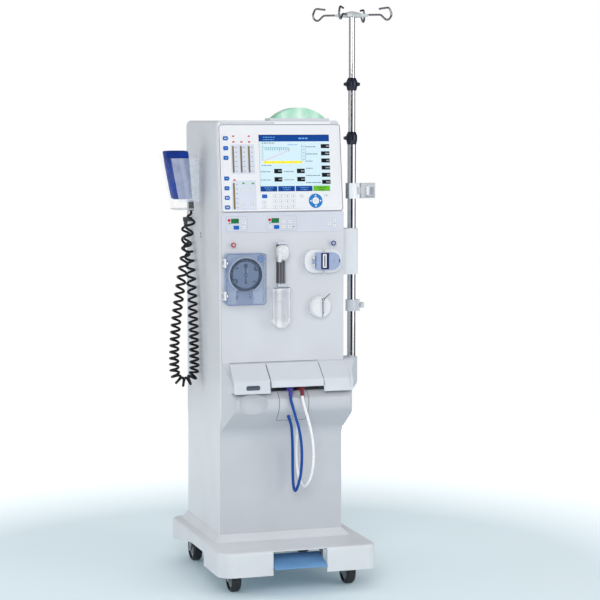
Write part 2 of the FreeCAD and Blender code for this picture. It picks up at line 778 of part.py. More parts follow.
def make_block():
    """The hydraulics block: its moulded cover, the two lids, the fixed shoulder and the insert."""
    skirt = [(column_front, casing_foot), (column_front - panel_thick, casing_foot),
             (column_front - panel_thick, column_knee, 60), (block_front, block_tuck, 40),
             (block_front, block_bulge, 12), (block_front + 20, block_shelf),
             (recess_back, block_shelf), (recess_back, panel_foot), (casing_front, panel_foot),
             (casing_front, column_knee + 50, 40), (column_front, column_knee + 10, 40)]
    column_face = column_front - panel_thick
    slope = (column_face - block_front) / (block_tuck - column_knee)
    inside = [(column_front + 1, column_knee + 12),
              (column_face + block_wall * 1.4 - slope * 12, column_knee + 12),
              (block_front + block_wall + 5, block_tuck + 3), (block_front + block_wall + 1, block_bulge - 6),
              (block_front + 30, block_shelf - block_wall), (column_front + 1, block_shelf - block_wall)]
    right = half_width + 17
    outer = prism("block_skirt", "YZ", skirt, (-panel_half, right))
    cheek_top = lid_top - 20
    cheek = prism("block_cheek", "YZ", [(recess_back, panel_foot), (recess_back, block_shelf - 1),
                                        (block_front + 8, block_shelf - 1),
                                        (block_front + 6, lid_crease_up - 22, 16),
                                        (recess_back - 12, cheek_top, 8)],
                                        (-panel_half, lid_left - panel_gap))
    front_view = prism("block_front_view", "XZ", [(-panel_half, casing_foot), (panel_half, casing_foot),
                                                  (panel_half, column_knee, 60), (right, block_tuck, 40),
                                                  (right, lid_foot - panel_gap),
                                                  (panel_half, lid_foot - panel_gap),
                                                  (panel_half, panel_foot), (-panel_half, panel_foot)],
                       (block_front - 30, casing_front + 30))
    plan = prism("block_plan", "XY", [(-panel_half, casing_front + 30), (-panel_half, recess_back + 6, 30),
                                      (lid_left + 6, block_front - 6, 30), (right - 8, block_front - 6, 30),
                                      (right, recess_back, 20), (right, casing_front - 0.3),
                                      (panel_half, casing_front - 0.3), (panel_half, casing_front + 30)],
                 (casing_foot - 1, panel_foot + 1))
    solid = common("block_solid", fuse("block_union", outer, cheek), front_view, plan)
    hollow = prism("block_hollow", "YZ", inside, (lid_seam_left + 12, panel_half - 12))
    scoop = ball("block_scoop", (scoop_across, block_front - 32, block_bulge - 10), scoop_radius)
    room = block("insert_room", (insert_left, insert_right), (block_front - 5, recess_back),
                 (insert_foot, block_shelf + 1))
    keep(cut("block_cover", solid, hollow, scoop, room), "block_cover")

    gap = panel_gap
    insert_front = column_face - slope * (insert_foot + gap - column_knee)
    insert_side = prism("insert_side", "YZ", [(recess_back - gap, insert_foot + gap),
                                              (insert_front, insert_foot + gap),
                                              (block_front, block_tuck, 40),
                                              (block_front, block_bulge, 12), (block_front + 20, block_shelf),
                                              (recess_back - gap, block_shelf)],
                        (insert_left + gap, insert_right - gap))
    ports = [rod("insert_port", "y", spot, (block_front - 5, column_face - 25), tube_radius)
             for spot in ((tube_blue_port, tube_port_up), (tube_clear_port, tube_port_up))]
    keep(cut("insert_panel", insert_side, *ports), "insert_panel")

    pivot = recess_back - gap - lid_barrel
    lid = prism("lid_body", "YZ", lid_outline(lid_crease_front, lid_foot, lid_thick, pivot),
                (lid_left, lid_seam_left - gap))
    barrel = rod("lid_barrel", "x", (pivot, lid_top - lid_barrel), (lid_left, lid_seam_left - gap),
                 lid_barrel)
    cheeks = [prism("lid_cheek", "YZ", [(pivot, lid_top - 3), (pivot, lid_top - 12),
                                        (lid_crease_front + 16, lid_foot + 2),
                                        (lid_crease_front + 2, lid_foot + 2),
                                        (lid_crease_front + 6, lid_crease_up - 2)], span)
              for span in ((lid_left, lid_left + lid_thick),
                           (lid_seam_left - gap - lid_thick, lid_seam_left - gap))]
    grip = block("lid_grip", (scoop_across - 24, scoop_across + 19),
                 (lid_crease_front - 6, lid_crease_front + 2), (lid_foot + 10, lid_foot + 24))
    keep(cut("left_lid", fuse("lid_union", lid, barrel, *cheeks), grip), "left_lid")
    flap = prism("flap_body", "YZ",
                 lid_outline(lid_crease_front - flap_proud, flap_foot, lid_thick + 1, pivot),
                 (lid_seam_left + gap, lid_seam_right - gap))
    barrel = rod("flap_barrel", "x", (pivot, lid_top - lid_barrel),
                 (lid_seam_left + gap, lid_seam_right - gap),
                 lid_barrel)
    keep(fuse("centre_flap", flap, barrel), "centre_flap")

    shoulder_side = lid_outline(lid_crease_front, lid_foot, lid_thick, recess_back - gap)
    front_part = prism("shoulder_front", "YZ", shoulder_side, (lid_seam_right + gap, half_width + 1))
    end_side = [(shoulder_back, panel_foot), (shoulder_back, lid_crease_up - 16, 12),
                (recess_back, lid_foot, 14),
                (lid_crease_front, lid_foot), (lid_crease_front, lid_crease_up, 10),
                (recess_back, lid_top, 8),
                (recess_back + 10, panel_foot)]
    end = prism("shoulder_end", "YZ", end_side, (half_width + gap, shoulder_right))
    plan_end = prism("shoulder_plan", "XY",
                     [(lid_seam_right, shoulder_back), (lid_seam_right, lid_crease_front - 20),
                      (half_width + 4, lid_crease_front - 20), (half_width + 12, lid_crease_front + 26, 20),
                      (shoulder_right, pole_back - 14, 14), (shoulder_right, shoulder_back, 12)],
                     (lid_foot - 1, panel_foot + 1))
    tie = block("shoulder_tie", (half_width - 8, half_width + 6), (recess_back - 30, recess_back - 2),
                (lid_foot + 4, lid_foot + 16))
    shoulder = common("shoulder_solid", fuse("shoulder_union", front_part, end, tie), plan_end)
    socket = rod("pole_socket", "z", (pole_across, pole_back), (pole_foot, panel_foot + 1), pole_lower_radius)
    keep(cut("shoulder_cover", shoulder, socket), "shoulder_cover")
    barrel_up = block_shelf + connector_radius + gap
    connectors = [fuse("connector", rod("connector_barrel", "y", (x, barrel_up),
                                        (connector_front, recess_back - gap), connector_radius),
                       rod("connector_nose", "z", (x, tube_start), (nose_foot, barrel_up), nose_radius))
                  for x in (tube_blue_exit, tube_clear_exit)]
    keep(group("rinse_connectors", *connectors), "rinse_connectors")


def make_pump():
    """The blood pump: plate with horseshoe track, motor, rotor with two rollers, door and latch."""
    plate_front = panel_face - pump_plate
    track_front = plate_front - 18
    hinge_x = door_left - 5
    hinge_y = panel_face - 15
    plate = prism("pump_plate", "XZ", rectangle(door_left, door_right, door_foot, door_top, door_round),
                  (plate_front, panel_face))
    track = rod("track_ring", "y", (pump_across, pump_up), (track_front, plate_front),
                stator_radius + track_wall)
    inside = rod("track_room", "y", (pump_across, pump_up), (track_front - 1, plate_front), stator_radius)
    mouth = block("track_mouth", (pump_across - 26, pump_across + 26), (track_front - 1, plate_front),
                  (door_foot, pump_up - 20))
    horseshoe = cut("track_horseshoe", track, inside, mouth)
    posts = [rod("track_post", "y", (pump_across + x, door_foot + 20), (track_front, plate_front), 5)
             for x in (-20, 20)]
    ears = []
    for middle in hinge_heights:
        for low, high in ((middle - 12, middle - 6), (middle + 6, middle + 12)):
            ears.append(rod("door_ear", "z", (hinge_x, hinge_y), (low, high), 4))
            ears.append(block("door_ear_web", (hinge_x - 4, hinge_x + 4), (hinge_y, panel_face), (low, high)))
            ears.append(block("door_ear_foot", (hinge_x - 4, door_left + 1), (plate_front, panel_face),
                              (low, high)))
        ears.append(rod("door_pin", "z", (hinge_x, hinge_y), (middle - 7, middle + 7), 2))
    shaft_hole = rod("shaft_hole", "y", (pump_across, pump_up), (track_front - 2, panel_face + 1), 5)
    keep(fuse("pump_housing", cut("pump_plate_cut", plate, shaft_hole), horseshoe, *(posts + ears)),
         "pump_housing")

    rotor_back = plate_front - 1
    rotor_front = rotor_back - rotor_thick
    motor = rod("motor_can", "y", (pump_across, pump_up), (casing_front, casing_front + 74), 34)
    shaft = rod("motor_shaft", "y", (pump_across, pump_up), (rotor_front + 3, casing_front), 4)
    keep(fuse("pump_motor", motor, shaft), "pump_motor")

    disc = rod("rotor_disc", "y", (pump_across, pump_up), (rotor_front, rotor_back), rotor_radius)
    spots = [(pump_across + roller_reach * math.cos(angle), pump_up + roller_reach * math.sin(angle))
             for angle in (math.radians(30), math.radians(210))]
    lobes = [rod("rotor_lobe", "y", spot, (rotor_back - 3, rotor_back), roller_radius - 1) for spot in spots]
    rooms = [rod("roller_room", "y", spot, (rotor_front - 1, rotor_back - 3), roller_radius + 0.8)
             for spot in spots]
    pins = [rod("roller_pin", "y", spot, (rotor_front + 1, rotor_back - 2), 2.5) for spot in spots]
    key = rod("crank_dish", "y", (pump_across, pump_up + 27), (rotor_front - 1, rotor_front + 5), 6)
    slot = block("crank_slot", (pump_across - 1.6, pump_across + 1.6), (rotor_front - 1, rotor_front + 5),
                 (pump_up - 24, pump_up + 27))
    boss = rod("crank_boss", "y", (pump_across, pump_up), (rotor_front, rotor_front + 5), 5)
    bore = rod("rotor_bore", "y", (pump_across, pump_up), (rotor_front + 2.5, rotor_back + 1), 4 + pole_play)
    body = cut("rotor_body", fuse("rotor_solid", disc, *lobes), key, slot, *rooms)
    keep(cut("pump_rotor", fuse("rotor_with_pins", body, boss, *pins), bore), "pump_rotor")
    for name, spot in zip(("pump_roller_upper", "pump_roller_lower"), spots):
        barrel = rod(name + "_barrel", "y", spot, (rotor_front + 1, rotor_back - 3 - panel_gap),
                     roller_radius)
        hole = rod(name + "_hole", "y", spot, (rotor_front, rotor_back), 2.5 + pole_play)
        keep(cut(name, barrel, hole), name)

    skirt_back = plate_front - panel_gap
    door = prism("door_shell", "XZ", rectangle(door_left, door_right, door_foot, door_top, door_round),
                 (door_front, skirt_back))
    pocket(door, "XZ",
           rectangle(door_left + door_wall, door_right - door_wall, door_foot + door_wall,
                     door_top - door_wall, door_round - door_wall),
           (door_front + door_wall, skirt_back))
    latch_spot = (door_right - 17, door_top - 15)
    hole = rod("latch_hole", "y", latch_spot, (door_front - 1, door_front + door_wall + 1), 3.3)
    barrels = []
    for middle in hinge_heights:
        span = (middle - 6 + panel_gap, middle + 6 - panel_gap)
        barrels.append(rod("door_barrel", "z", (hinge_x, hinge_y), span, 4))
        barrels.append(block("door_tab", (hinge_x, door_left + 1), (hinge_y - 2, hinge_y + 2), span))
    bores = [rod("door_bore", "z", (hinge_x, hinge_y), (middle - 8, middle + 8), 2 + pole_play)
             for middle in hinge_heights]
    keep(cut("pump_door", fuse("door_union", door, *barrels), hole, *bores), "pump_door")
    knob = rod("latch_knob", "y", latch_spot, (door_front - 6, door_front - panel_gap), 10)
    stem = rod("latch_stem", "y", latch_spot, (door_front - panel_gap, door_front + 9), 3)
    bolt = block("latch_bolt", (latch_spot[0] - 2, latch_spot[0] + 10), (door_front + 5, door_front + 9),
                 (latch_spot[1] - 3, latch_spot[1] + 3))
    keep(fuse("door_latch", knob, stem, bolt), "door_latch")


hinge_heights = (door_top - 28, door_foot + 26)


def make_syringe_pump():
    """The heparin pump: guide rods in two brackets, the plunger carriage and the syringe cup."""
    centre = panel_face - rod_out
    columns = [rods_middle + step * rod_step for step in (-1, 0, 1)]
    bars = [rod("guide_rod", "z", (x, centre), (rods_foot, rods_top), rod_radius) for x in columns]
    half = rod_step + rod_radius + 3
    backing = block("rod_backing", (rods_middle - half, rods_middle + half), (panel_face - 3, panel_face),
                    (rods_foot, rods_top))
    feet = [block("rod_bracket", (rods_middle - half, rods_middle + half),
                  (centre - rod_radius - 3, panel_face), span)
            for span in ((rods_foot, rods_foot + 6), (rods_top - 6, rods_top))]
    keep(fuse("guide_rods", backing, *(bars + feet)), "guide_rods")
    front = panel_face - carriage_out
    body = prism("carriage_body", "XZ",
                 rectangle(rods_middle - carriage_half, rods_middle + carriage_half, carriage_foot,
                           carriage_top - panel_gap, 9), (front, panel_face - 4))
    wing = block("carriage_wing", (rods_middle - carriage_half - 6, rods_middle + carriage_half + 6),
                 (front + 8, front + 18), (carriage_foot + 2, carriage_foot + 14))
    holes = [rod("rod_hole", "z", (x, centre), (carriage_foot - 1, carriage_top), rod_radius + pole_play)
             for x in columns]
    keep(cut("plunger_carriage", fuse("carriage_union", body, wing), *holes), "plunger_carriage")
    left, right = cup_middle - cup_radius, cup_middle + cup_radius
    cup_front = panel_face - cup_depth
    cup = prism("syringe_cup", "XZ", [(left, cup_foot, cup_radius - 1), (right, cup_foot, cup_radius - 1),
                                      (right, cup_top), (left, cup_top)], (cup_front, panel_face))
    wall = cup_wall
    pocket(cup, "XZ", [(left + wall, cup_foot + wall, cup_radius - 1 - wall), (right - wall, cup_foot + wall,
                       cup_radius - 1 - wall), (right - wall, cup_top + 1), (left + wall, cup_top + 1)],
           (cup_front, panel_face - wall))
    keep(cup, "syringe_cup")


def make_sensors():
    """The air detector with its hinged flap, the level sensor with its wire lever, and the hose ports."""
    middle = (detector_foot + detector_top) / 2
    front = panel_face - detector_out
    body = prism("detector_solid", "XZ",
                 rectangle(detector_left, detector_right, detector_foot, detector_top, 28),
                 (front, panel_face))
    pin_x = flap_left - 6
    pin_y = front - 6
    ears = []
    for low, high in ((middle - 13, middle - 8), (middle + 8, middle + 13)):
        ears.append(rod("flap_ear", "z", (pin_x, pin_y), (low, high), 4))
        ears.append(block("flap_ear_web", (pin_x - 4, pin_x + 4), (pin_y, front + 1), (low, high)))
    pin = rod("flap_pin", "z", (pin_x, pin_y), (middle - 9, middle + 9), 2)
    groove = rod("line_groove", "z", (flap_left + 26, front), (detector_foot - 1, detector_top + 1), 5)
    keep(fuse("detector_body", cut("detector_grooved", body, groove), pin, *ears), "detector_body")
    near = front - panel_gap
    flap = prism("flap_plate", "XZ",
                 [(flap_left, flap_low, 4), (flap_right, flap_low, 24), (flap_right, flap_high, 24),
                                      (flap_left, flap_high, 4)], (near - flap_thick, near))
    barrel = rod("detector_barrel", "z", (pin_x, pin_y), (middle - 8 + panel_gap, middle + 8 - panel_gap), 4)
    tab = block("flap_tab", (pin_x, flap_left + 1), (pin_y - 2, pin_y + 2),
                (middle - 8 + panel_gap, middle + 8 - panel_gap))
    bore = rod("flap_bore", "z", (pin_x, pin_y), (middle - 9, middle + 9), 2 + pole_play)
    keep(cut("detector_flap", fuse("flap_union", flap, barrel, tab), bore), "detector_flap")

    face = panel_face - level_out
    profile = [(0, 0), (level_radius, 0), (level_radius, level_out - 6), (level_radius - 5, level_out),
               (0, level_out)]
    drum = turned("level_drum", profile, (level_across, panel_face, level_up), "x", 90)
    slot = block("level_slot", (lever_across - 3, lever_across + 2), (face - 1, face + 9),
                 (level_up - 30, level_up + 16))
    pivot = rod("lever_pivot", "y", (lever_across, lever_up), (face - 6, face + 1), 1.5)
    keep(fuse("level_sensor", cut("level_cut", drum, slot), pivot), "level_sensor")
    hub = rod("lever_hub", "y", (lever_across, lever_up), (face - 5, face - panel_gap), 3.4)
    wire = rod("lever_wire", "z", (0, 0), (0, lever_reach), wire_radius)
    place(wire, (lever_across, face - 3, lever_up), "y", 50)
    hole = rod("lever_hole", "y", (lever_across, lever_up), (face - 8, face + 1), 1.5 + pole_play)
    keep(cut("level_lever", fuse("lever_union", hub, wire), hole), "level_lever")

    luer = [(1.8, 0), (6.5, 0), (6.5, 3), (3.8, 4), (3.3, 13), (1.8, 13)]
    ports = [turned("pressure_port", luer, (x, panel_face, port_up), "x", 90)
             for x in (-port_across, port_across)]
    out = -half_width - socket_out
    elbow = rod("cuff_elbow", "x", (socket_back, socket_up), (out - 7, -half_width), 7)
    nipple = rod("cuff_nipple", "z", (out, socket_back), (socket_up - 16, socket_up), 6)
    fitting = rod("cuff_fitting", "z", (fitting_across, fitting_back),
                  (pocket_foot - fitting_out, cuff_foot - panel_gap), 8)
    keep(group("hose_ports", fuse("cuff_port", elbow, nipple), fitting, *ports), "hose_ports")


def pole_tube(name, outer, bore, span):
    """One drawn tube of the telescopic pole."""
    centre = (pole_across, pole_back)
    tube = rod(name + "_outside", "z", centre, span, outer)
    return cut(name, tube, rod(name + "_bore", "z", centre, (span[0] - 1, span[1] + 1), bore))


def clamp_collar(name, tube_top, below, above, sides):
    """A black clamping collar with wings to the given sides at the top of a tube."""
    foot = tube_top - collar_height / 2
    top = tube_top + collar_height / 2
    profile = [(0, foot), (collar_radius - 3, foot), (collar_radius, tube_top - 6),
               (collar_radius, tube_top + 8),
               (collar_radius - 5, top), (0, top)]
    body = turned(name + "_body", profile, (pole_across, pole_back, 0))
    wings = []
    for side in sides:
        tip = pole_across + wing_reach * side
        profile = [(tip, tube_top - 4, 3), (pole_across, tube_top - 11), (pole_across, tube_top + 11),
                   (tip, tube_top + 4, 3)]
        wings.append(prism(name + "_wing", "XZ", profile[::-side], (pole_back - 6, pole_back + 6)))
    wide = rod(name + "_wide", "z", (pole_across, pole_back), (foot - 1, tube_top + panel_gap),
               below + pole_play)
    narrow = rod(name + "_narrow", "z", (pole_across, pole_back), (foot, top + 1), above + pole_play)
    keep(cut(name, fuse(name + "_union", body, *wings), wide, narrow), name)


def bent_wire(points, radius, bends):
    """A round wire along points, its corners taken with arcs of the given radii."""
    spots = [Vector(*[float(v) for v in point]) for point in points]
    edges = []
    start = spots[0]
    for index in range(1, len(spots) - 1):
        first, second, centre = rounded_corner(spots[index - 1], spots[index], spots[index + 1],
                                               bends[index - 1])
        middle = centre + (spots[index] - centre).normalize() * (first - centre).Length
        if (first - start).Length > 1e-6:
            edges.append(Part.LineSegment(start, first).toShape())
        edges.append(Part.Arc(first, middle, second).toShape())
        start = second
    edges.append(Part.LineSegment(start, spots[-1]).toShape())
    path = Part.Wire(edges)
    ring = Part.Wire([Part.Circle(spots[0], spots[1] - spots[0], radius).toShape()])
    tube = path.makePipeShell([ring], True, False)
    return tube, path.Length


def make_pole():
    """The telescopic pole with its collars, hooks, bracket and two clamps."""
    centre = (pole_across, pole_back)
    play = pole_play
    keep(pole_tube("pole_lower", pole_lower_radius, pole_middle_radius + play, (pole_foot, pole_lower_top)),
         "pole_lower")
    keep(pole_tube("pole_middle", pole_middle_radius, pole_upper_radius + play,
                   (pole_middle_foot, pole_middle_top)),
         "pole_middle")
    clamp_collar("collar_lower", pole_lower_top, pole_lower_radius, pole_middle_radius, (-1,))
    clamp_collar("collar_upper", pole_middle_top, pole_middle_radius, pole_upper_radius, (-1, 1))

    upper = rod("upper_tube", "z", centre, (pole_upper_foot, pole_upper_top + 2), pole_upper_radius)
    top = pole_upper_top
    profile = [(0, top), (hub_radius, top), (hub_radius + 10, top + hub_thick), (12, top + hub_thick + 9),
               (0, top + hub_thick + 11)]
    hub = turned("hub_dish", profile, (pole_across, pole_back, 0))
    arms = []
    for quarter in range(4):
        angle = math.radians(quarter * 90 - 37)
        out = Vector(math.cos(angle), math.sin(angle), 0)
        foot = Vector(float(pole_across), float(pole_back), float(top + hub_thick - 1))
        reach, wire = float(hook_reach), float(hook_wire)
        profile = ((hub_radius.value, 0), (reach - 38, 0), (reach - 15, -22), (reach - wire, 0),
                   (reach - 12, 21), (reach - 43, 17))
        points = [foot + out * along + Vector(0, 0, up) for along, up in profile]
        shape, _ = bent_wire(points, wire, (14, 11, 15, 9))
        arm = doc.addObject("Part::Feature", "hook_wire")
        arm.Shape = shape
        arms.append(arm)
        lobe = rod("hub_lobe", "z", (pole_across + 34 * math.cos(angle), pole_back + 34 * math.sin(angle)),
                   (top + 1, top + hub_thick + 1), 15)
        arms.append(lobe)
    keep(fuse("pole_upper", upper, hub, *arms), "pole_upper")

    bracket = prism("bracket_body", "XY",
                    [(half_width, pole_back - bracket_half), (bracket_right, pole_back - bracket_half, 12),
                     (bracket_right, pole_back + bracket_half, 12), (half_width, pole_back + bracket_half)],
                    (bracket_foot, bracket_top))
    hole = rod("bracket_bore", "z", centre, (bracket_foot - 1, bracket_top + 1), pole_lower_radius)
    keep(cut("pole_bracket", bracket, hole), "pole_bracket")

    low, high = holder_foot, holder_top
    ring = rod("holder_ring", "z", centre, (low, high), holder_radius)
    web = block("holder_web", (pole_across + 6, arm_left - 4), (pole_back - web_half, pole_back + web_half),
                (low, high))
    middle = (low + high) / 2
    pin_x = arm_left - 4
    ears = [rod("holder_ear", "z", (pin_x, pole_back), span, 5)
            for span in ((low, low + 12), (high - 12, high))]
    pin = rod("holder_pin", "z", (pin_x, pole_back), (low + 2, high - 2), 2)
    room = block("holder_room", (pin_x - 6, pin_x + 6), (pole_back - 10, pole_back + 10),
                 (low + 12, high - 12))
    bore = rod("holder_bore", "z", centre, (low - 1, high + 1), pole_lower_radius + play)
    body = cut("holder_clamp_cut", fuse("holder_union", ring, web, *ears), room, bore)
    keep(fuse("holder_clamp", body, pin), "holder_clamp")
    plate = prism("arm_plate", "YZ", rectangle(pole_back - 6, pole_back + 6, low, high, 3),
                  (arm_left + 3, arm_right))
    tongue = block("arm_tongue", (pin_x, arm_left + 4), (pole_back - 4, pole_back + 4),
                   (low + 12 + panel_gap, high - 12 - panel_gap))
    barrel = rod("arm_barrel", "z", (pin_x, pole_back), (low + 12 + panel_gap, high - 12 - panel_gap), 4.5)
    pad = block("arm_pad", (arm_right - 26, arm_right - 6), (pole_back - 9, pole_back), (low + 6, high - 6))
    hole = rod("arm_bore", "z", (pin_x, pole_back), (low, high), 2 + play)
    keep(cut("holder_arm", fuse("arm_union", plate, tongue, barrel, pad), hole), "holder_arm")

    low, high = thumb_foot, thumb_top
    ring = rod("thumb_ring", "z", centre, (low, high), pole_lower_radius + 5)
    boss = block("thumb_boss", (pole_across + 8, pole_across + 24), (pole_back - 9, pole_back + 9),
                 (low, high))
    bore = rod("thumb_bore", "z", centre, (low - 1, high + 1), pole_lower_radius + play)
    middle = (low + high) / 2
    thread = rod("thumb_hole", "x", (pole_back, middle), (pole_across + 5, pole_across + 26), 3 + play)
    keep(cut("thumb_clamp", fuse("thumb_union", ring, boss), bore, thread), "thumb_clamp")
    stem = rod("thumb_stem", "x", (pole_back, middle),
               (pole_across + pole_lower_radius + 1, pole_across + 28), 3)
    grip = prism("thumb_grip", "YZ", rectangle(pole_back - 13, pole_back + 13, middle - 8, middle + 8, 5),
                 (pole_across + 25, pole_across + 36))
    keep(fuse("thumb_screw", stem, grip), "thumb_screw")


def make_cuff_pocket():
    """The clear pocket on its arm at the machine's left side, and the folded cuff in it."""
    wall = pocket_wall
    lean = (pocket_left_foot - pocket_left_top) / (pocket_top - pocket_foot)

    def left_edge(up, inset):
        return pocket_left_foot - lean * (up - pocket_foot) + inset

    outside = [(left_edge(pocket_foot, 0), pocket_foot, 6), (pocket_right, pocket_foot, 6),
               (pocket_right, pocket_top), (left_edge(pocket_top, 0), pocket_top)]
    shell = prism("pocket_shell", "XZ", outside, (pocket_front, pocket_back))
    floor = pocket_foot + wall
    inside = [(left_edge(floor, wall), floor), (pocket_right - wall, floor),
              (pocket_right - wall, pocket_top + 1),
              (left_edge(pocket_top + 1, wall), pocket_top + 1)]
    pocket(shell, "XZ", inside, (pocket_front + wall, pocket_back - wall))
    rim = block("pocket_rim", (pocket_left_top - 5, pocket_right - wall),
                (pocket_front - 1, pocket_front + wall + 1),
                (pocket_top - 12, pocket_top + 1))
    arm = block("pocket_arm", (pocket_right - 1, -half_width), (fitting_back - 12, fitting_back + 12),
                (pocket_top - 38, pocket_top - 12))
    drain = rod("fitting_hole", "z", (fitting_across, fitting_back), (pocket_foot - 1, floor + 1), 8)
    keep(cut("cuff_pocket", fuse("pocket_union", shell, arm), rim, drain), "cuff_pocket")
    gap = 2
    top = pocket_top + cuff_rise
    soft = [(left_edge(cuff_foot, wall + gap), cuff_foot, 5),
            (pocket_right - wall - cuff_side_foot, cuff_foot, 5),
            (pocket_right - wall - cuff_side_top, top, 8), (left_edge(top, wall + gap), top, 8)]
    keep(prism("cuff", "XZ", soft, (pocket_front + wall + gap, pocket_back - wall - gap)), "cuff")


def cord(name, points, radius):
    """A cord's tube, its arcs as large as its runs allow."""
    spots = [Vector(*[float(v) for v in point]) for point in points]
    bends = []
    for before, spot, after in zip(spots, spots[1:], spots[2:]):
        half_turn = (spot - before).getAngle(after - spot) / 2
        bends.append(0.45 * min((spot - before).Length, (after - spot).Length) / math.tan(half_turn))
    shape, length = bent_wire(spots, float(radius), bends)
    area = math.pi * float(radius) ** 2
    print(name, "length %.1f" % length, "volume over section %.1f" % (shape.Volume / area),
          "radii", [round(bend, 1) for bend in bends])
    thing = doc.addObject("Part::Feature", name)
    thing.Shape = shape
    keep(thing, name)


def make_cords():
    """The coiled cuff hose as one fat tube and the two rinse tubes that hang in loops."""
    def from_nose(across, offsets):
        return [(across + right, tube_start + back, nose_foot - drop) for right, back, drop in offsets]

    cord("rinse_tube_blue", from_nose(tube_blue_exit, [
        (0, 0, 0), (0, 0, 9), (5.5, -3, 30), (12, -4, 54), (25, -4, 96), (33, -4, 145), (34.5, -3, 194),
        (30, -3, 240), (22, 3, 274), (20, 20, 290), (20, 37, 276), (20, 43, 238), (19.5, 42, 193),
        (17, 35, 150),
        (11, 21, 114), (4, 6, 84)]) + [(tube_blue_port, tube_start + port_depth, tube_port_up)], tube_radius)
    cord("rinse_tube_clear", from_nose(tube_clear_exit, [
        (0, 0, 0), (0, 0, 9), (5, -3, 30), (12, -4, 54), (24, -2, 94), (33, -1, 141), (35, -1, 188),
        (31, 1, 231),
        (22, 9, 263), (14, 26, 279), (6, 42, 264), (-1, 49, 228), (-4, 49, 184), (-5, 42, 142), (-8, 26, 109),
        (-11, 7, 83)]) + [(tube_clear_port, tube_start + port_depth, tube_port_up)], tube_radius)
    out = -half_width - socket_out
    falling = [(0, 0, 0), (0, 0, 19), (-6, 2, 55), (-14, 4, 107), (-23, 5, 165), (-32, 8, 223), (-40, 9, 281),
               (-46, 12, 338), (-50, 13, 390), (-51.5, 15, 432), (-51, 16, 468), (-49, 17, 497),
               (-38, 18, 515),
               (-18.5, 19, 522), (1, 20, 515), (12, 21, 497), (14, 23, 467)]
    rising = [(-1, -98, 397), (0, -94, 351), (-1, -88, 298), (0, -81, 243), (-1, -69, 187), (0, -55, 133),
              (-1, -27, 83), (0, 0, 59), (0, 0, 16)]
    start = pocket_foot - fitting_out
    cord("cuff_hose", [(fitting_across + right, fitting_back + back, start - drop)
                       for right, back, drop in falling]
         + [(out + right, socket_back + back, socket_up - drop) for right, back, drop in rising], hose_radius)


def make_inside():
    """The hydraulics unit with its heater, fixed to the upright plate."""
    foot = casing_foot + hydraulics_rise
    top = foot + hydraulics_height
    middle = wall_back - hydraulics_depth / 2
    body = block("hydraulics_body", (-hydraulics_half, hydraulics_half),
                 (wall_back - hydraulics_depth, wall_back),
                 (foot, top))
    heater = rod("hydraulics_heater", "z", (-hydraulics_half / 2, middle), (top, top + heater_height),
                 heater_radius)
    gear_pump = rod("hydraulics_pump", "z", (hydraulics_half / 2, middle), (top, top + gear_pump_height),
                    gear_pump_radius)
    keep(fuse("hydraulics_unit", body, heater, gear_pump), "hydraulics_unit")


make_base()
for corner, spot in castor_spots.items():
    make_castor(corner, spot)
make_pedal()
make_shells()
make_front()
make_block()
make_pump()
make_syringe_pump()
make_sensors()
make_pole()
make_cuff_pocket()
make_cords()
make_inside()
doc.recompute()

faults = ["%s failed: %s" % (thing.Name, thing.State) for thing in doc.Objects
          if "Invalid" in thing.State or "Error" in thing.State]
faults += ["%s has no valid shape" % thing.Label for thing in pieces
           if thing.Shape.isNull() or not thing.Shape.isValid() or not thing.Shape.Solids]
if faults:
    raise RuntimeError("; ".join(faults))

os.makedirs("parts", exist_ok=True)
for thing in pieces:
    thing.Shape.exportStep("parts/%s.step" % thing.Label)
print(len(pieces), "sub-parts written")
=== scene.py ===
"""Looks for the dialysis machine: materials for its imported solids, and the small parts on them."""
import math

import bmesh
import bpy
from mathutils import Euler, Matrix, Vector
from mathutils.bvhtree import BVHTree


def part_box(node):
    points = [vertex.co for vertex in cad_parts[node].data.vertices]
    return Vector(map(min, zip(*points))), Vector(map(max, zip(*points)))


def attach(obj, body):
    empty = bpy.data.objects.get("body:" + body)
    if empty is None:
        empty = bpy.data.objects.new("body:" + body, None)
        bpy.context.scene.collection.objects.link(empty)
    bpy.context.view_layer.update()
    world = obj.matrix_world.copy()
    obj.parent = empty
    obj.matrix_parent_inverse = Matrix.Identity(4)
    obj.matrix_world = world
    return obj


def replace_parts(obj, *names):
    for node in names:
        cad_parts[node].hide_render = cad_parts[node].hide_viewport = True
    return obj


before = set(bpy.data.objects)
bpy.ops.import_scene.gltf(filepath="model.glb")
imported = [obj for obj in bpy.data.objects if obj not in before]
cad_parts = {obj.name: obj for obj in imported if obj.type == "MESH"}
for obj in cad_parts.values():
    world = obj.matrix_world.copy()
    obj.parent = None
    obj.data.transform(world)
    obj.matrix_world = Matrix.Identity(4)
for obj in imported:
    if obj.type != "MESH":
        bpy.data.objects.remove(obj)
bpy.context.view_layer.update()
MM = 0.001

# Centres in metres: the pole's across and deep, the pump's across and up, the lamp's and the cup's across
POLE = (0.232, -0.075)
PUMP = (-0.121, 0.922)
LAMP_X, CUP_X = 0.071, -0.014


def added(name, data):
    """An object that holds the data, linked into the scene."""
    made = bpy.data.objects.new(name, data)
    bpy.context.collection.objects.link(made)
    return made


# The camera
VIEW_YAW, VIEW_PITCH = 0.308409, 0.090163
camera_data = bpy.data.cameras.new("camera")
camera_data.lens = 120.06
camera_data.sensor_width = 36
camera_data.clip_end = 60
camera = added("camera", camera_data)
camera.location = (-1.7358, -5.7432, 1.3745)
camera.rotation_euler = Euler((math.pi / 2 - VIEW_PITCH, 0, -VIEW_YAW))
scene = bpy.context.scene
scene.camera = camera
scene.view_settings.view_transform = "Standard"


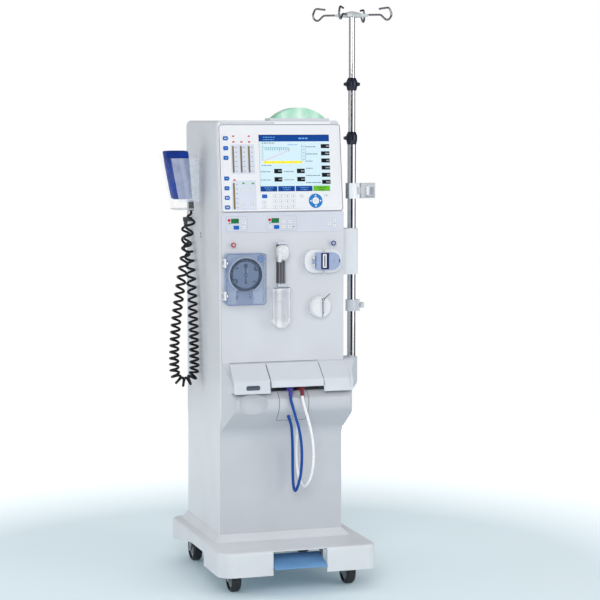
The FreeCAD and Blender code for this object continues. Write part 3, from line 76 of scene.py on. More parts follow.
def linear(red, green, blue):
    """A display colour of 0 to 255 as the linear colour that a shader takes."""
    out = []
    for part in (red, green, blue):
        part = part / 255
        out.append(part / 12.92 if part <= 0.04045 else ((part + 0.055) / 1.055) ** 2.4)
    return (*out, 1.0)


def tinted(colour, amount):
    """A colour made lighter or darker."""
    return (*[min(1.0, part * amount) for part in colour[:3]], 1.0)


class Tree:
    """Shader nodes, each made and linked in one line."""

    def __init__(self, tree):
        self.tree = tree

    def put(self, value, socket):
        """Links a node's output to a socket, or sets the socket to a constant."""
        if isinstance(value, bpy.types.NodeSocket):
            self.tree.links.new(value, socket)
        else:
            socket.default_value = value

    def node(self, kind, inputs=None, **settings):
        made = self.tree.nodes.new(kind)
        for key, value in settings.items():
            setattr(made, key, value)
        for key, value in (inputs or {}).items():
            self.put(value, made.inputs[key])
        return made

    def spread(self, value, low, high, start=0.3, end=0.7):
        """A value of start to end as one of low to high."""
        inputs = {"Value": value, "From Min": start, "From Max": end, "To Min": low, "To Max": high}
        return self.node("ShaderNodeMapRange", inputs).outputs["Result"]

    def mix(self, factor, first, second):
        return self.node("ShaderNodeMix", {0: factor, 6: first, 7: second}, data_type="RGBA").outputs[2]

    def math(self, kind, *values):
        return self.node("ShaderNodeMath", dict(enumerate(values)), operation=kind).outputs[0]

    def plus(self, first, second):
        return self.math("ADD", first, second)

    def minus(self, first, second):
        return self.math("SUBTRACT", first, second)

    def times(self, first, second):
        return self.math("MULTIPLY", first, second)

    def below(self, value, limit):
        return self.math("LESS_THAN", value, limit)

    def above(self, value, limit):
        return self.math("GREATER_THAN", value, limit)

    def off(self, value, centre):
        """How far a value lies from a centre, to either side."""
        return self.math("ABSOLUTE", self.minus(value, centre))


class Graph(Tree):
    """The nodes of one material."""

    def __init__(self, name):
        self.material = bpy.data.materials.new(name)
        self.material.use_nodes = True
        super().__init__(self.material.node_tree)
        self.shader = self.tree.nodes["Principled BSDF"]
        self.place = self.node("ShaderNodeTexCoord").outputs["Object"]

    def link(self, value, socket):
        self.put(value, self.shader.inputs[socket])

    def noise(self, scale, detail=3.0, rough=0.5, at=None):
        return self.node("ShaderNodeTexNoise", {"Vector": at or self.place, "Scale": scale, "Detail": detail,
                                                "Roughness": rough}).outputs["Fac"]

    def bump(self, height, strength, distance):
        made = self.node("ShaderNodeBump", {"Height": height, "Strength": strength, "Distance": distance})
        self.link(made.outputs["Normal"], "Normal")

    def tone(self, patches, colour, dark, pale):
        """A colour that drifts between a darker and a paler one."""
        return self.mix(self.spread(patches, 0, 1), tinted(colour, dark), tinted(colour, pale))

    def surface(self, patches, low, high, grain, strength, depth, detail=2.0):
        """Sets a roughness that drifts between two values and a grain, and gives the material."""
        self.link(self.spread(patches, low, high), "Roughness")
        self.bump(self.noise(grain, detail), strength, depth)
        return self.material

    def slant(self):
        """How much a face is seen along its edge."""
        return self.node("ShaderNodeLayerWeight", {"Blend": 0.3}).outputs["Facing"]

    def axes(self):
        split = self.node("ShaderNodeSeparateXYZ", {"Vector": self.place})
        return split.outputs["X"], split.outputs["Y"], split.outputs["Z"]

    def inside(self, radius, first, second, centre_first, centre_second):
        """1 within a radius of a line along one axis, and 0 outside it."""
        across = self.minus(first, centre_first)
        along = self.minus(second, centre_second)
        return self.below(self.plus(self.times(across, across), self.times(along, along)), radius * radius)


def plastic(name, colour, rough=0.42, grain=900.0, depth=0.00004, mottle=0.035, coat=0.0, gloss=0.5):
    """Moulded plastic: a fine pebbled skin, a slight drift of colour and places handled smooth."""
    graph = Graph(name)
    graph.link(graph.tone(graph.noise(7.0, 2.0), colour, 1 - mottle, 1 + mottle), "Base Color")
    graph.link(gloss, "Specular IOR Level")
    if coat:
        graph.link(coat, "Coat Weight")
        graph.link(0.08, "Coat Roughness")
    return graph.surface(graph.noise(28.0, 4.0, 0.6), rough - 0.06, rough + 0.07, grain, 0.35, depth)


def metal(name, colour, rough):
    """Drawn or polished metal: faint upright lines and a thin haze."""
    graph = Graph(name)
    stretch = {0: graph.place, 1: (900, 900, 12)}
    lines = graph.node("ShaderNodeVectorMath", stretch, operation="MULTIPLY").outputs[0]
    fine = graph.noise(1.0, 3.0, 0.6, lines)
    haze = graph.noise(35.0, 3.0)
    graph.link(graph.tone(haze, colour, 0.93, 1.04), "Base Color")
    graph.link(1.0, "Metallic")
    lined = graph.spread(fine, rough * 0.7, rough * 1.3)
    graph.link(graph.plus(lined, graph.spread(haze, -0.02, 0.03)), "Roughness")
    graph.bump(fine, 0.12, 0.00002)
    return graph.material


def coated(name, colour, rough, metallic=0.0):
    """Powder-coated sheet steel, with its orange-peel skin."""
    graph = Graph(name)
    graph.link(graph.tone(graph.noise(9.0), colour, 0.92, 1.05), "Base Color")
    graph.link(metallic, "Metallic")
    return graph.surface(graph.noise(60.0), rough - 0.08, rough + 0.08, 420.0, 0.5, 0.00008, 3.0)


def see_through(name, colour, cover, edge, rough, slope=0.3):
    """Clear plastic that covers a share of what lies behind it, more where it is seen along its edge."""
    graph = Graph(name)
    wipe = graph.noise(40.0, 4.0, 0.65)
    graph.link(graph.tone(wipe, colour, 0.96, 1.04), "Base Color")
    graph.link(graph.spread(graph.slant(), cover, cover + edge, slope, 1.0), "Alpha")
    return graph.surface(wipe, rough - 0.04, rough + 0.05, 260.0, 0.08, 0.00003)


def glowing(name, colour, strength, rough=0.25):
    """A lit field of a screen or lamp under a clear front, with a faint fine mottle."""
    graph = Graph(name)
    shade = graph.tone(graph.noise(700.0, 1.0), colour, 0.94, 1.05)
    graph.link(shade, "Base Color")
    graph.link(shade, "Emission Color")
    graph.link(strength, "Emission Strength")
    graph.link(0.15, "Specular IOR Level")
    graph.link(graph.spread(graph.noise(50.0), rough - 0.05, rough + 0.05), "Roughness")
    return graph.material


CASING = linear(214, 219, 225)
PANEL = linear(204, 209, 221)
paint = {
    "casing": plastic("casing_plastic", CASING),
    "panel": plastic("panel_plastic", linear(205, 209, 216), 0.40, 1100.0, 0.00003),
    "bezel": plastic("bezel_plastic", linear(232, 233, 239), 0.36, 1100.0, 0.00003),
    "strip": plastic("strip_plastic", PANEL, 0.38, 1300.0, 0.00002),
    "keys_panel": plastic("key_panel_film", linear(228, 231, 236), 0.34, 1500.0, 0.00002),
    "block": plastic("block_plastic", linear(193, 198, 205), 0.44),
    "lid": plastic("lid_plastic", linear(209, 215, 223), 0.40),
    "key_tint": plastic("key_field_film", linear(208, 215, 229), 0.34, 1500.0, 0.00002),
    "seam": plastic("seam_rubber", linear(118, 126, 138), 0.7, 600.0),
    "dark_seam": plastic("dark_seam_rubber", linear(66, 74, 84), 0.7, 600.0),
    # Painted shade: a dark slab standing for the shaded room under the flap.
    "painted_hollow_shade": plastic("shaded_hollow", linear(84, 92, 102), 0.7, 600.0),
    "steel": coated("chassis_coating", linear(150, 156, 164), 0.45, 0.3),
    "grey": plastic("grey_plastic", linear(150, 156, 166), 0.45),
    "pale_grey": plastic("pale_grey_plastic", linear(192, 197, 205), 0.42),
    "slate": plastic("slate_plastic", linear(52, 64, 86), 0.42, gloss=0.3),
    # Painted shade in the lid's grip recess.
    "grip_shade": plastic("grip_recess_shade", linear(66, 80, 92), 0.35, 900.0, 0.00004, 0.06, 0.2),
    "rotor_dark": plastic("rotor_groove_plastic", linear(34, 46, 72), 0.4, gloss=0.25),
    "rotor_edge": plastic("rotor_edge_plastic", linear(92, 112, 144), 0.36),
    "door_edge": plastic("door_edge_plastic", linear(92, 110, 156), 0.22, 900.0, 0.00003, 0.04, 0.3),
    "flap": plastic("flap_plastic", linear(150, 166, 200), 0.28, 900.0, 0.00003, 0.05, 0.3),
    "collar": plastic("collar_plastic", linear(14, 20, 42), 0.30, 700.0, 0.00005, 0.08, 0.15, 0.3),
    # Black, used as painted shade inside the side holes.
    "black": plastic("black_plastic", linear(24, 25, 28), 0.45, 700.0, 0.00005, 0.08),
    "white": plastic("white_plastic", linear(222, 226, 231), 0.30, 1400.0, 0.00002, 0.02, 0.25),
    "chrome": metal("chrome_tube", (0.80, 0.81, 0.84, 1), 0.07),
    "low_chrome": metal("lower_chrome_tube", (0.66, 0.68, 0.72, 1), 0.10),
    "rotor": plastic("rotor_plastic", linear(100, 120, 148), 0.4, 800.0),
    "wire": metal("lever_wire", (0.16, 0.17, 0.20, 1), 0.24),
    "pedal": coated("pedal_coating", linear(108, 156, 204), 0.42),
    "cover": see_through("cover_tint", linear(152, 172, 204), 0.09, 0.30, 0.08),
    "clear": see_through("clear_plastic", linear(246, 249, 251), 0.02, 0.24, 0.07, 0.70),
    "latch": plastic("latch_plastic", linear(104, 136, 180), 0.25, 900.0, 0.00003, 0.05, 0.3),
    "ring_key": plastic("ring_key_plastic", linear(18, 120, 196), 0.3, 1400.0, 0.00002, 0.03, 0.15, 0.2),
    "blue_key": plastic("blue_key_plastic", linear(24, 98, 184), 0.35, 1400.0, 0.00002, gloss=0.2),
    "white_key": plastic("white_key_plastic", linear(228, 232, 236), 0.35, 1400.0, 0.00002),
    "key_edge": plastic("key_edge_plastic", linear(176, 186, 200), 0.4, 1400.0, 0.00002),
    # Dark print on the keys, also used as painted shade inside the ports' holes.
    "arrow": plastic("arrow_print", linear(58, 62, 72), 0.5),
    "red_lamp": glowing("red_lamp", linear(196, 26, 46), 0.20),
    "green_lamp": glowing("green_lamp", linear(52, 150, 72), 0.35),
    "green_display": glowing("green_display", linear(18, 96, 52), 0.30),
    "bar_brown": plastic("bar_graph_film", linear(122, 104, 52), 0.3, 1400.0),
    "red_ring": plastic("red_ring_plastic", linear(178, 30, 46), 0.35, gloss=0.25),
    "blue_ring": plastic("blue_ring_plastic", linear(44, 54, 146), 0.35, gloss=0.25),
    "scale": plastic("scale_print", linear(108, 116, 130), 0.5),
    "navy": plastic("navy_plastic", linear(20, 34, 82), 0.35, gloss=0.25),
}
SCREEN_COLOURS = {
    "ground": ((190, 212, 221), 0.26), "blue": ((3, 58, 132), 0.25), "yellow": ((236, 214, 30), 0.30),
    "black": ((10, 14, 20), 0.02), "green": ((92, 166, 38), 0.30), "dark_green": ((28, 92, 30), 0.15),
    "red": ((214, 128, 132), 0.30), "sky": ((96, 152, 206), 0.30), "teal": ((66, 140, 160), 0.30),
    "white": ((196, 212, 226), 0.20), "grey": ((98, 116, 132), 0.25),
}
for key, (colour, glow) in SCREEN_COLOURS.items():
    paint["screen_" + key] = glowing("screen_" + key, linear(*colour), glow, 0.16)


def wheel_finish(name, across, up):
    """A black tread on a grey hub, told apart by their distance from the axle."""
    graph = Graph(name)
    _, y, z = graph.axes()
    hub = graph.inside(0.0285, y, z, across, up)
    ring = graph.inside(0.0305, y, z, across, up)
    dust = graph.spread(graph.noise(90.0, 4.0, 0.7), 0, 1)
    tread = graph.mix(dust, linear(22, 23, 26), linear(44, 45, 49))
    grey = graph.mix(dust, linear(128, 134, 142), linear(148, 154, 162))
    lip = graph.mix(ring, tread, linear(16, 16, 18))
    graph.link(graph.mix(hub, lip, grey), "Base Color")
    return graph.surface(graph.noise(50.0), 0.45, 0.65, 500.0, 0.4, 0.00008, 3.0)


def hub_finish():
    """The pale hub on the steel pole and its wire hooks."""
    graph = Graph("pole_top_finish")
    x, y, z = graph.axes()
    near = graph.inside(0.052, x, y, *POLE)
    high = graph.above(z, 1.676)
    thin = graph.inside(0.0101, x, y, *POLE)
    low = graph.below(z, 1.6765)
    hub = graph.times(near, graph.times(high, graph.minus(1.0, graph.times(thin, low))))
    haze = graph.spread(graph.noise(60.0, 3.0), 0, 1)
    wire = graph.minus(1.0, graph.inside(0.0135, x, y, *POLE))
    steel = graph.mix(haze, (0.70, 0.71, 0.73, 1), (0.80, 0.81, 0.83, 1))
    steel = graph.mix(wire, steel, graph.mix(haze, (0.15, 0.15, 0.17, 1), (0.24, 0.24, 0.26, 1)))
    pale = graph.mix(haze, linear(196, 203, 206), linear(210, 216, 219))
    graph.link(graph.mix(hub, steel, pale), "Base Color")
    graph.link(graph.minus(1.0, hub), "Metallic")
    rough = graph.plus(graph.spread(graph.noise(120.0), 0.07, 0.11), graph.times(hub, 0.3))
    graph.link(rough, "Roughness")
    graph.bump(graph.noise(900.0, 2.0), 0.05, 0.00002)
    return graph.material


def cup_finish():
    """The clear cup: painted reflections whiten its wall at its sides and in one soft upright stripe, and the
    wall is less clear at its lip and at its foot.
    """
    graph = Graph("syringe_cup_plastic")
    x, _, z = graph.axes()
    wipe = graph.noise(40.0, 4.0, 0.65)
    tone = graph.spread(wipe, 0, 1)
    graph.link(graph.mix(tone, linear(238, 242, 245), linear(247, 249, 251)), "Base Color")
    # Painted reflections: the wall's sides and one soft upright stripe are whitened.
    side = graph.spread(graph.off(x, CUP_X), 0.0, 0.5, 0.019, 0.026)
    reflection_band = graph.spread(graph.off(x, CUP_X - 0.008), 0.40, 0.0, 0.003, 0.010)
    ends = graph.plus(graph.spread(z, 0.45, 0.0, 0.768, 0.792), graph.spread(z, 0.0, 0.30, 0.868, 0.880))
    cover_and_reflection = graph.plus(graph.plus(side, reflection_band), graph.plus(ends, 0.06))
    graph.link(graph.math("MINIMUM", cover_and_reflection, 0.8), "Alpha")
    return graph.surface(wipe, 0.08, 0.17, 260.0, 0.08, 0.00003)


def housing_finish():
    """The light slate housing of the pump, with painted shade: dark in its well round the rotor, and in the
    channel that leads down from it, most near the well.
    """
    graph = Graph("pump_housing_plastic")
    x, _, z = graph.axes()
    # Painted shade: the well round the rotor is dark, and the channel below it darkens towards the well.
    well = graph.inside(0.0493, x, z, *PUMP)
    shaded_mouth = graph.times(graph.below(graph.off(x, PUMP[0]), 0.026), graph.below(z, 0.902))
    drift = graph.spread(graph.noise(12.0, 3.0), 0, 1)
    light = graph.mix(drift, linear(166, 180, 204), linear(176, 189, 211))
    dark = graph.mix(drift, linear(26, 36, 58), linear(38, 50, 74))
    channel_shade_fade = graph.spread(z, 0, 1, 0.850, 0.892)
    channel = graph.mix(channel_shade_fade, linear(146, 162, 190), linear(84, 100, 130))
    rim = graph.below(x, -0.1832)
    light = graph.mix(rim, light, linear(206, 213, 221))
    graph.link(graph.mix(well, graph.mix(shaded_mouth, light, channel), dark), "Base Color")
    return graph.surface(graph.noise(28.0, 4.0, 0.6), 0.34, 0.46, 900.0, 0.35, 0.00004)


def lamp_finish():
    """The frosted green dome of the status lamp: pale over the bulbs in its middle, deeper at its ends."""
    graph = Graph("lamp_lens")
    x, _, z = graph.axes()
    side = graph.math("DIVIDE", graph.off(x, LAMP_X), 0.080)
    patches = graph.spread(graph.noise(60.0, 3.0), -0.08, 0.08)
    haze = graph.plus(graph.times(graph.math("POWER", side, 2.0), 0.5), patches)
    rib = graph.math("SINE", graph.times(x, 900.0))
    bulb = graph.math("ABSOLUTE", graph.math("SINE", graph.times(graph.minus(x, LAMP_X), 62.0)))
    low = graph.spread(z, 0.0, 0.65, 1.372, 1.402)
    haze = graph.plus(haze, graph.times(graph.plus(bulb, low), 0.42))
    shade = graph.mix(haze, linear(220, 241, 231), linear(126, 198, 166))
    graph.link(shade, "Base Color")
    graph.link(shade, "Emission Color")
    graph.link(0.10, "Emission Strength")
    graph.link(graph.spread(graph.noise(90.0), 0.22, 0.34), "Roughness")
    graph.bump(rib, 0.25, 0.0001)
    return graph.material


HAZE_LEFT, HAZE_SLOPE = -0.2945, 0.19


def pocket_finish():
    """The clear cuff pocket: a hazed sheet on its front wall, clear side and rear walls, and a floor whitened
    by a painted highlight.
    """
    graph = Graph("pocket_plastic")
    x, y, z = graph.axes()
    wipe = graph.noise(30.0, 4.0, 0.65)
    slope = graph.times(graph.minus(1.270, z), HAZE_SLOPE)
    right_of = graph.minus(graph.minus(x, HAZE_LEFT), slope)
    sheet = graph.times(graph.above(right_of, 0.0), graph.above(z, 1.128))
    front_wall = graph.times(graph.below(y, 0.0545), sheet)
    streak = graph.spread(graph.off(right_of, 0.031), 0.12, 0.0, 0.004, 0.009)
    thin = graph.spread(right_of, 0.0, 0.16, 0.012, 0.055)
    cover = graph.minus(graph.plus(graph.spread(wipe, 0.40, 0.50), streak), thin)
    # Painted highlight: the floor of the pocket is whitened.
    floor_highlight = graph.below(z, 1.1085)
    clear = graph.mix(graph.spread(wipe, 0, 1), linear(216, 222, 226), linear(230, 235, 238))
    hazed = graph.mix(graph.spread(wipe, 0, 1), linear(220, 230, 248), linear(227, 236, 252))
    graph.link(graph.mix(front_wall, clear, hazed), "Base Color")
    slant = graph.spread(graph.slant(), 0.0, 0.40, 0.55, 1.0)
    cover = graph.times(front_wall, cover)
    cover = graph.plus(cover, graph.plus(graph.spread(wipe, 0.015, 0.035), slant))
    graph.link(graph.plus(cover, graph.times(floor_highlight, 0.35)), "Alpha")
    return graph.surface(wipe, 0.14, 0.22, 18.0, 0.05, 0.0001, 1.0)


def two_tone(name, limit, low_side, high_side, patch, smooth, dull):
    """Plastic of two colours that meet at a place across: each is given as its darkest and its palest."""
    graph = Graph(name)
    x, _, _ = graph.axes()
    drift = graph.spread(graph.noise(patch, 3.0), 0, 1)
    low, high = [graph.mix(drift, linear(*dark), linear(*pale)) for dark, pale in (low_side, high_side)]
    graph.link(graph.mix(graph.below(x, limit), high, low), "Base Color")
    return graph.surface(graph.noise(50.0), smooth, dull, 900.0, 0.3, 0.00003)


def rods_finish():
    """Guide rods, dark with painted highlight stripes along them, between the two pale blocks that hold their
    ends.
    """
    graph = Graph("rod_finish")
    x, _, z = graph.axes()
    block = graph.plus(graph.above(z, 1.0075), graph.below(z, 0.8935))
    # Painted highlights: light stripes across the rods, each running along their length.
    lines = graph.math("SINE", graph.times(x, 1900.0))
    ground = graph.spread(lines, 0, 1, -1.0, 1.0)
    dull = graph.mix(ground, (0.13, 0.135, 0.15, 1), (0.24, 0.245, 0.27, 1))
    graph.link(graph.mix(block, dull, PANEL), "Base Color")
    graph.link(graph.minus(0.75, graph.times(block, 0.75)), "Metallic")
    return graph.surface(graph.noise(120.0, 3.0), 0.38, 0.50, 900.0, 0.1, 0.00002)


THREADS_PER_METRE = 937.5


def cloth_finish(name, colour):
    """Plain-woven coated nylon: two crossed thread waves, slubs and a soft sheen."""
    graph = Graph(name)
    x, y, z = graph.axes()
    turns = THREADS_PER_METRE * math.tau
    warp = graph.math("SINE", graph.times(graph.plus(x, y), turns))
    weft = graph.math("SINE", graph.times(z, turns))
    weave = graph.times(warp, weft)
    slub = graph.noise(120.0, 4.0, 0.7)
    height = graph.plus(graph.times(weave, 0.5), slub)
    fold = graph.noise(14.0, 3.0)
    shade = graph.plus(fold, graph.times(weave, 0.06))
    graph.link(graph.tone(shade, colour, 0.75, 1.25), "Base Color")
    graph.link(graph.spread(slub, 0.62, 0.8), "Roughness")
    graph.link(0.10, "Sheen Weight")
    graph.link(0.2, "Specular IOR Level")
    graph.link(0.45, "Sheen Roughness")
    graph.bump(height, 0.4, 0.00012)
    return graph.material


def hose_finish(name, colour, rough):
    """Extruded rubber or silicone, with faint scuffs."""
    graph = Graph(name)
    scuff = graph.noise(140.0, 4.0, 0.65)
    graph.link(graph.tone(scuff, colour, 0.9, 1.12), "Base Color")
    graph.link(0.25, "Specular IOR Level")
    return graph.surface(scuff, rough - 0.05, rough + 0.1, 700.0, 0.2, 0.00003)


paint["pole_top"] = hub_finish()
paint["connectors"] = two_tone("connector_finish", 0.022, ((52, 44, 138), (66, 58, 160)),
                               ((98, 14, 30), (122, 22, 40)), 80.0, 0.28, 0.40)
paint["rods"] = rods_finish()
paint["holder"] = two_tone("holder_clamp_plastic", 0.2195, ((104, 114, 120), (122, 132, 138)),
                           ((222, 227, 233), (236, 240, 244)), 20.0, 0.30, 0.42)
paint["housing"] = housing_finish()
paint["cup"] = cup_finish()
paint["lamp"] = lamp_finish()
paint["pocket"] = pocket_finish()
paint["fittings"] = two_tone("port_plastic", -0.185, ((52, 57, 60), (76, 82, 84)),
                             ((196, 201, 208), (210, 215, 221)), 80.0, 0.28, 0.42)
paint["cloth"] = cloth_finish("cuff_cloth", linear(8, 54, 146))
paint["binding"] = cloth_finish("cuff_binding", linear(6, 38, 112))
paint["coil"] = hose_finish("coil_rubber", linear(22, 23, 28), 0.36)
paint["blue_tube"] = hose_finish("blue_silicone", linear(6, 72, 156), 0.34)
paint["clear_tube"] = hose_finish("clear_silicone", linear(246, 248, 251), 0.22)

finish_of = {
    "casing": "base_cover side_shell_left side_shell_right top_cover rear_cover pole_bracket",
    "bezel": "monitor_bezel",
    "panel": "front_panel",
    "strip": "control_strip",
    "keys_panel": "key_panel",
    "block": "block_cover insert_panel",
    "lid": "left_lid centre_flap shoulder_cover",
    "steel": "base_frame chassis_plate pump_motor hydraulics_unit",
    "grey": "castor_fork_front_left castor_fork_front_right castor_fork_rear_left castor_fork_rear_right",
    "housing": "pump_housing",
    "pedal": "brake_pedal",
    "lamp": "lamp_dome",
    "screen_black": "display",
    "ring_key": "arrow_ring",
    "fittings": "hose_ports",
    "pale_grey": "thumb_clamp thumb_screw holder_arm",
    "collar": "collar_lower collar_upper",
    "chrome": "pole_middle",
    "low_chrome": "pole_lower",
    "pole_top": "pole_upper",
    "white": "plunger_carriage detector_body level_sensor",
    "holder": "holder_clamp",
    "rods": "guide_rods",
    "wire": "level_lever",
    "clear": "syringe_cup",
    "pocket": "cuff_pocket",
    "cover": "pump_door",
    "rotor": "pump_rotor",
    "slate": "pump_roller_upper pump_roller_lower",
    "flap": "detector_flap",
    "latch": "door_latch",
    "connectors": "rinse_connectors",
}


def dress(name, material):
    """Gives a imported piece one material."""
    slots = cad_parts[name].data.materials
    slots.clear()
    slots.append(material)


for finish, names in finish_of.items():
    for name in names.split():
        dress(name, paint[finish])
AXLE_HEIGHT = 0.040
for end, y in (("front", -0.207), ("rear", 0.233)):
    for side in ("left", "right"):
        dress(f"wheel_{end}_{side}", wheel_finish(f"tread_{end}_{side}", y, AXLE_HEIGHT))


# Places on the machine: each turns millimetres across, up and outward into a point
LEAN = math.radians(7.5)
MONITOR_DEEP, MONITOR_FOOT, MONITOR_THICK = -125.0, 1103.0, 6.0
PANEL_FACE, LEFT_FACE = -131.0, -190.0
# The depths of the other faces that carry small parts, and a depth in front of them all
ROTOR_FACE, DOOR_FACE, LATCH_FACE, CUP_FACE, CARRIAGE_FACE = -154.0, -166.0, -172.0, -163.0, -165.0
DETECTOR_FACE, LEVEL_FACE, LID_FACE, FLAP_ROOM_BACK = -160.3, -157.0, -189.0, -139.0
IN_FRONT = -400.0


def monitor(u, v, w=0.0):
    """A point on the leaning monitor, up from its foot and out from its face."""
    out = MONITOR_THICK + w
    return Vector((u, MONITOR_DEEP - out * math.cos(LEAN) + v * math.sin(LEAN),
                   MONITOR_FOOT + out * math.sin(LEAN) + v * math.cos(LEAN))) * MM


def facing(plane):
    """The places on an upright plane that faces the front, at a depth."""
    def spot(u, v, w=0.0):
        return Vector((u, plane - w, v)) * MM
    return spot


def left_side(u, v, w=0.0):
    """A point on the left side, along the depth and up."""
    return Vector((LEFT_FACE - w, u, v)) * MM


def circle(u, v, radius, sides):
    return [(u + radius * math.cos(math.tau * step / sides), v + radius * math.sin(math.tau * step / sides))
            for step in range(sides)]


def rounded(u, v, radius, bend, steps):
    """A rectangle over u and v, whose corners turn with the bend about centres a radius inside it."""
    out = []
    for x, y, turn in ((u[1], v[0], -90), (u[1], v[1], 0), (u[0], v[1], 90), (u[0], v[0], 180)):
        x += -radius if x == u[1] else radius
        y += -radius if y == v[1] else radius
        for step in range(steps + 1):
            angle = math.radians(turn + step * 90 / steps)
            out.append((x + bend * math.cos(angle), y + bend * math.sin(angle)))
    return out


def drawn_in(point, middle, scale):
    """A point brought nearer to a middle."""
    return [centre + (part - centre) * scale for centre, part in zip(middle, point)]


class Kit:
    """One mesh made of slabs, discs and rings on a place of the machine."""

    def __init__(self, name, place, *finishes):
        self.name, self.place, self.finishes = name, place, list(finishes)
        self.points, self.faces, self.slots = [], [], []

    def loops(self, rows, finish, closed=False):
        """Joins loops of points into a closed ring, or into a tube that is capped at both ends."""
        start, count = len(self.points), len(rows[0])
        slot = self.finishes.index(finish)
        for row in rows:
            self.points += row
        last = len(rows) if closed else len(rows) - 1
        for index in range(last):
            here, there = start + index * count, start + (index + 1) % len(rows) * count
            for step in range(count):
                after = (step + 1) % count
                self.faces.append((here + step, here + after, there + after, there + step))
                self.slots.append(slot)
        if not closed:
            self.faces.append(tuple(range(start + count - 1, start - 1, -1)))
            self.faces.append(tuple(range(start + (len(rows) - 1) * count, start + len(rows) * count)))
            self.slots += [slot, slot]

    def shape(self, outline, low, high, finish, lip=0.3):
        """An outline of points across and up, raised from low to high with a small chamfer."""
        middle = [sum(point[axis] for point in outline) / len(outline) for axis in (0, 1)]
        reach = max(math.dist(point, middle) for point in outline)
        rows = []
        for level, inset in ((low, 0), (high - lip, 0), (high, lip)):
            scale = 1 - inset / reach
            rows.append([self.place(*drawn_in(point, middle, scale), level) for point in outline])
        self.loops(rows, finish)

    def slab(self, u, v, high, finish, radius=1.0, low=-0.3, lip=0.25):
        """A rounded rectangle that spans u and v."""
        radius = min(radius, (u[1] - u[0]) / 2.01, (v[1] - v[0]) / 2.01)
        self.shape(rounded(u, v, radius, radius, 3), low, high, finish, lip)

    def tile(self, u, v, half_wide, half_tall, *rest):
        """A slab round a middle point."""
        self.slab((u - half_wide, u + half_wide), (v - half_tall, v + half_tall), *rest)

    def disc(self, u, v, radius, high, finish, low=-0.3, lip=0.25, sides=24):
        self.shape(circle(u, v, radius, sides), low, high, finish, lip)

    def ring(self, u, v, outer, inner, high, finish, low=-0.3, sides=32):
        rows = [[self.place(*point, level) for point in circle(u, v, radius, sides)]
                for radius, level in ((outer, low), (outer, high), (inner, high), (inner, low))]
        self.loops(rows, finish, closed=True)

    def frame(self, u, v, wide, high, finish, radius=8.0, low=-0.3):
        """A thin rounded frame that runs round a rectangle."""
        rows = [[self.place(*point, level) for point in rounded(u, v, radius, radius + grow, 5)]
                for grow, level in ((0, low), (0, high), (-wide, high), (-wide, low))]
        self.loops(rows, finish, closed=True)

    def line(self, points, wide, high, finish):
        """A thin strip along points across and up."""
        for (u0, v0), (u1, v1) in zip(points, points[1:]):
            length = math.hypot(u1 - u0, v1 - v0)
            du, dv = -(v1 - v0) / length * wide / 2, (u1 - u0) / length * wide / 2
            self.shape([(u0 + du, v0 + dv), (u0 - du, v0 - dv), (u1 - du, v1 - dv), (u1 + du, v1 + dv)][::-1],
                       -0.2, high, finish, 0.02)

    def make(self, body="frame", slot=None, smooth=False):
        mesh = bpy.data.meshes.new(self.name)
        mesh.from_pydata(self.points, [], self.faces)
        for finish in self.finishes:
            mesh.materials.append(paint[finish])
        for face, index in zip(mesh.polygons, self.slots):
            face.material_index = index
            face.use_smooth = smooth
        work = bmesh.new()
        work.from_mesh(mesh)
        bmesh.ops.recalc_face_normals(work, faces=work.faces)
        work.to_mesh(mesh)
        work.free()
        made = added(self.name, mesh)
        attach(made, body)
        return made


def skin_of(data):
    """The faces of a mesh, to be met by a line."""
    return BVHTree.FromPolygons([corner.co for corner in data.vertices],
                                [face.vertices for face in data.polygons])


skins = {}


def skin(node, u, v):
    """The point where a line from the front meets a node at a place across and up, and which way it faces."""
    if node not in skins:
        skins[node] = skin_of(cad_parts[node].data)
    spot, normal, _, _ = skins[node].ray_cast(Vector((u, IN_FRONT, v)) * MM, Vector((0, 1, 0)))
    return spot, normal


def ribbon(kit, node, points, wide, high, finish, step=3.0):
    """A thin raised line that lies on a node's front along points across and up."""
    rows = []
    for index, ((u0, v0), (u1, v1)) in enumerate(zip(points, points[1:])):
        length = math.hypot(u1 - u0, v1 - v0)
        count = max(1, round(length / step))
        side = Vector((-(v1 - v0) / length, 0, (u1 - u0) / length)) * (wide / 2 * MM)
        for part in range(0 if index == 0 else 1, count + 1):
            share = part / count
            spot, normal = skin(node, u0 + (u1 - u0) * share, v0 + (v1 - v0) * share)
            if spot is None:
                continue
            out = normal * (high * MM)
            left, right = spot - side, spot + side
            rows.append([left - out * 0.5, left + out, right + out, right - out * 0.5])
    kit.loops(rows, finish)


# Cords: the rinse tubes and the coiled cuff hose
def spline(name, points, radius=0.0):
    """A smooth open curve with the points as its control points."""
    curve = bpy.data.curves.new(name, "CURVE")
    curve.dimensions = "3D"
    curve.resolution_u = 6
    curve.bevel_depth = radius
    curve.bevel_resolution = 4
    curve.use_fill_caps = True
    line = curve.splines.new("NURBS")
    line.points.add(len(points) - 1)
    for spot, point in zip(line.points, points):
        spot.co = (*point, 1)
    line.order_u = 3
    line.use_endpoint_u = True
    return added(name, curve)


def route(*points):
    return [Vector(point) * MM for point in points]


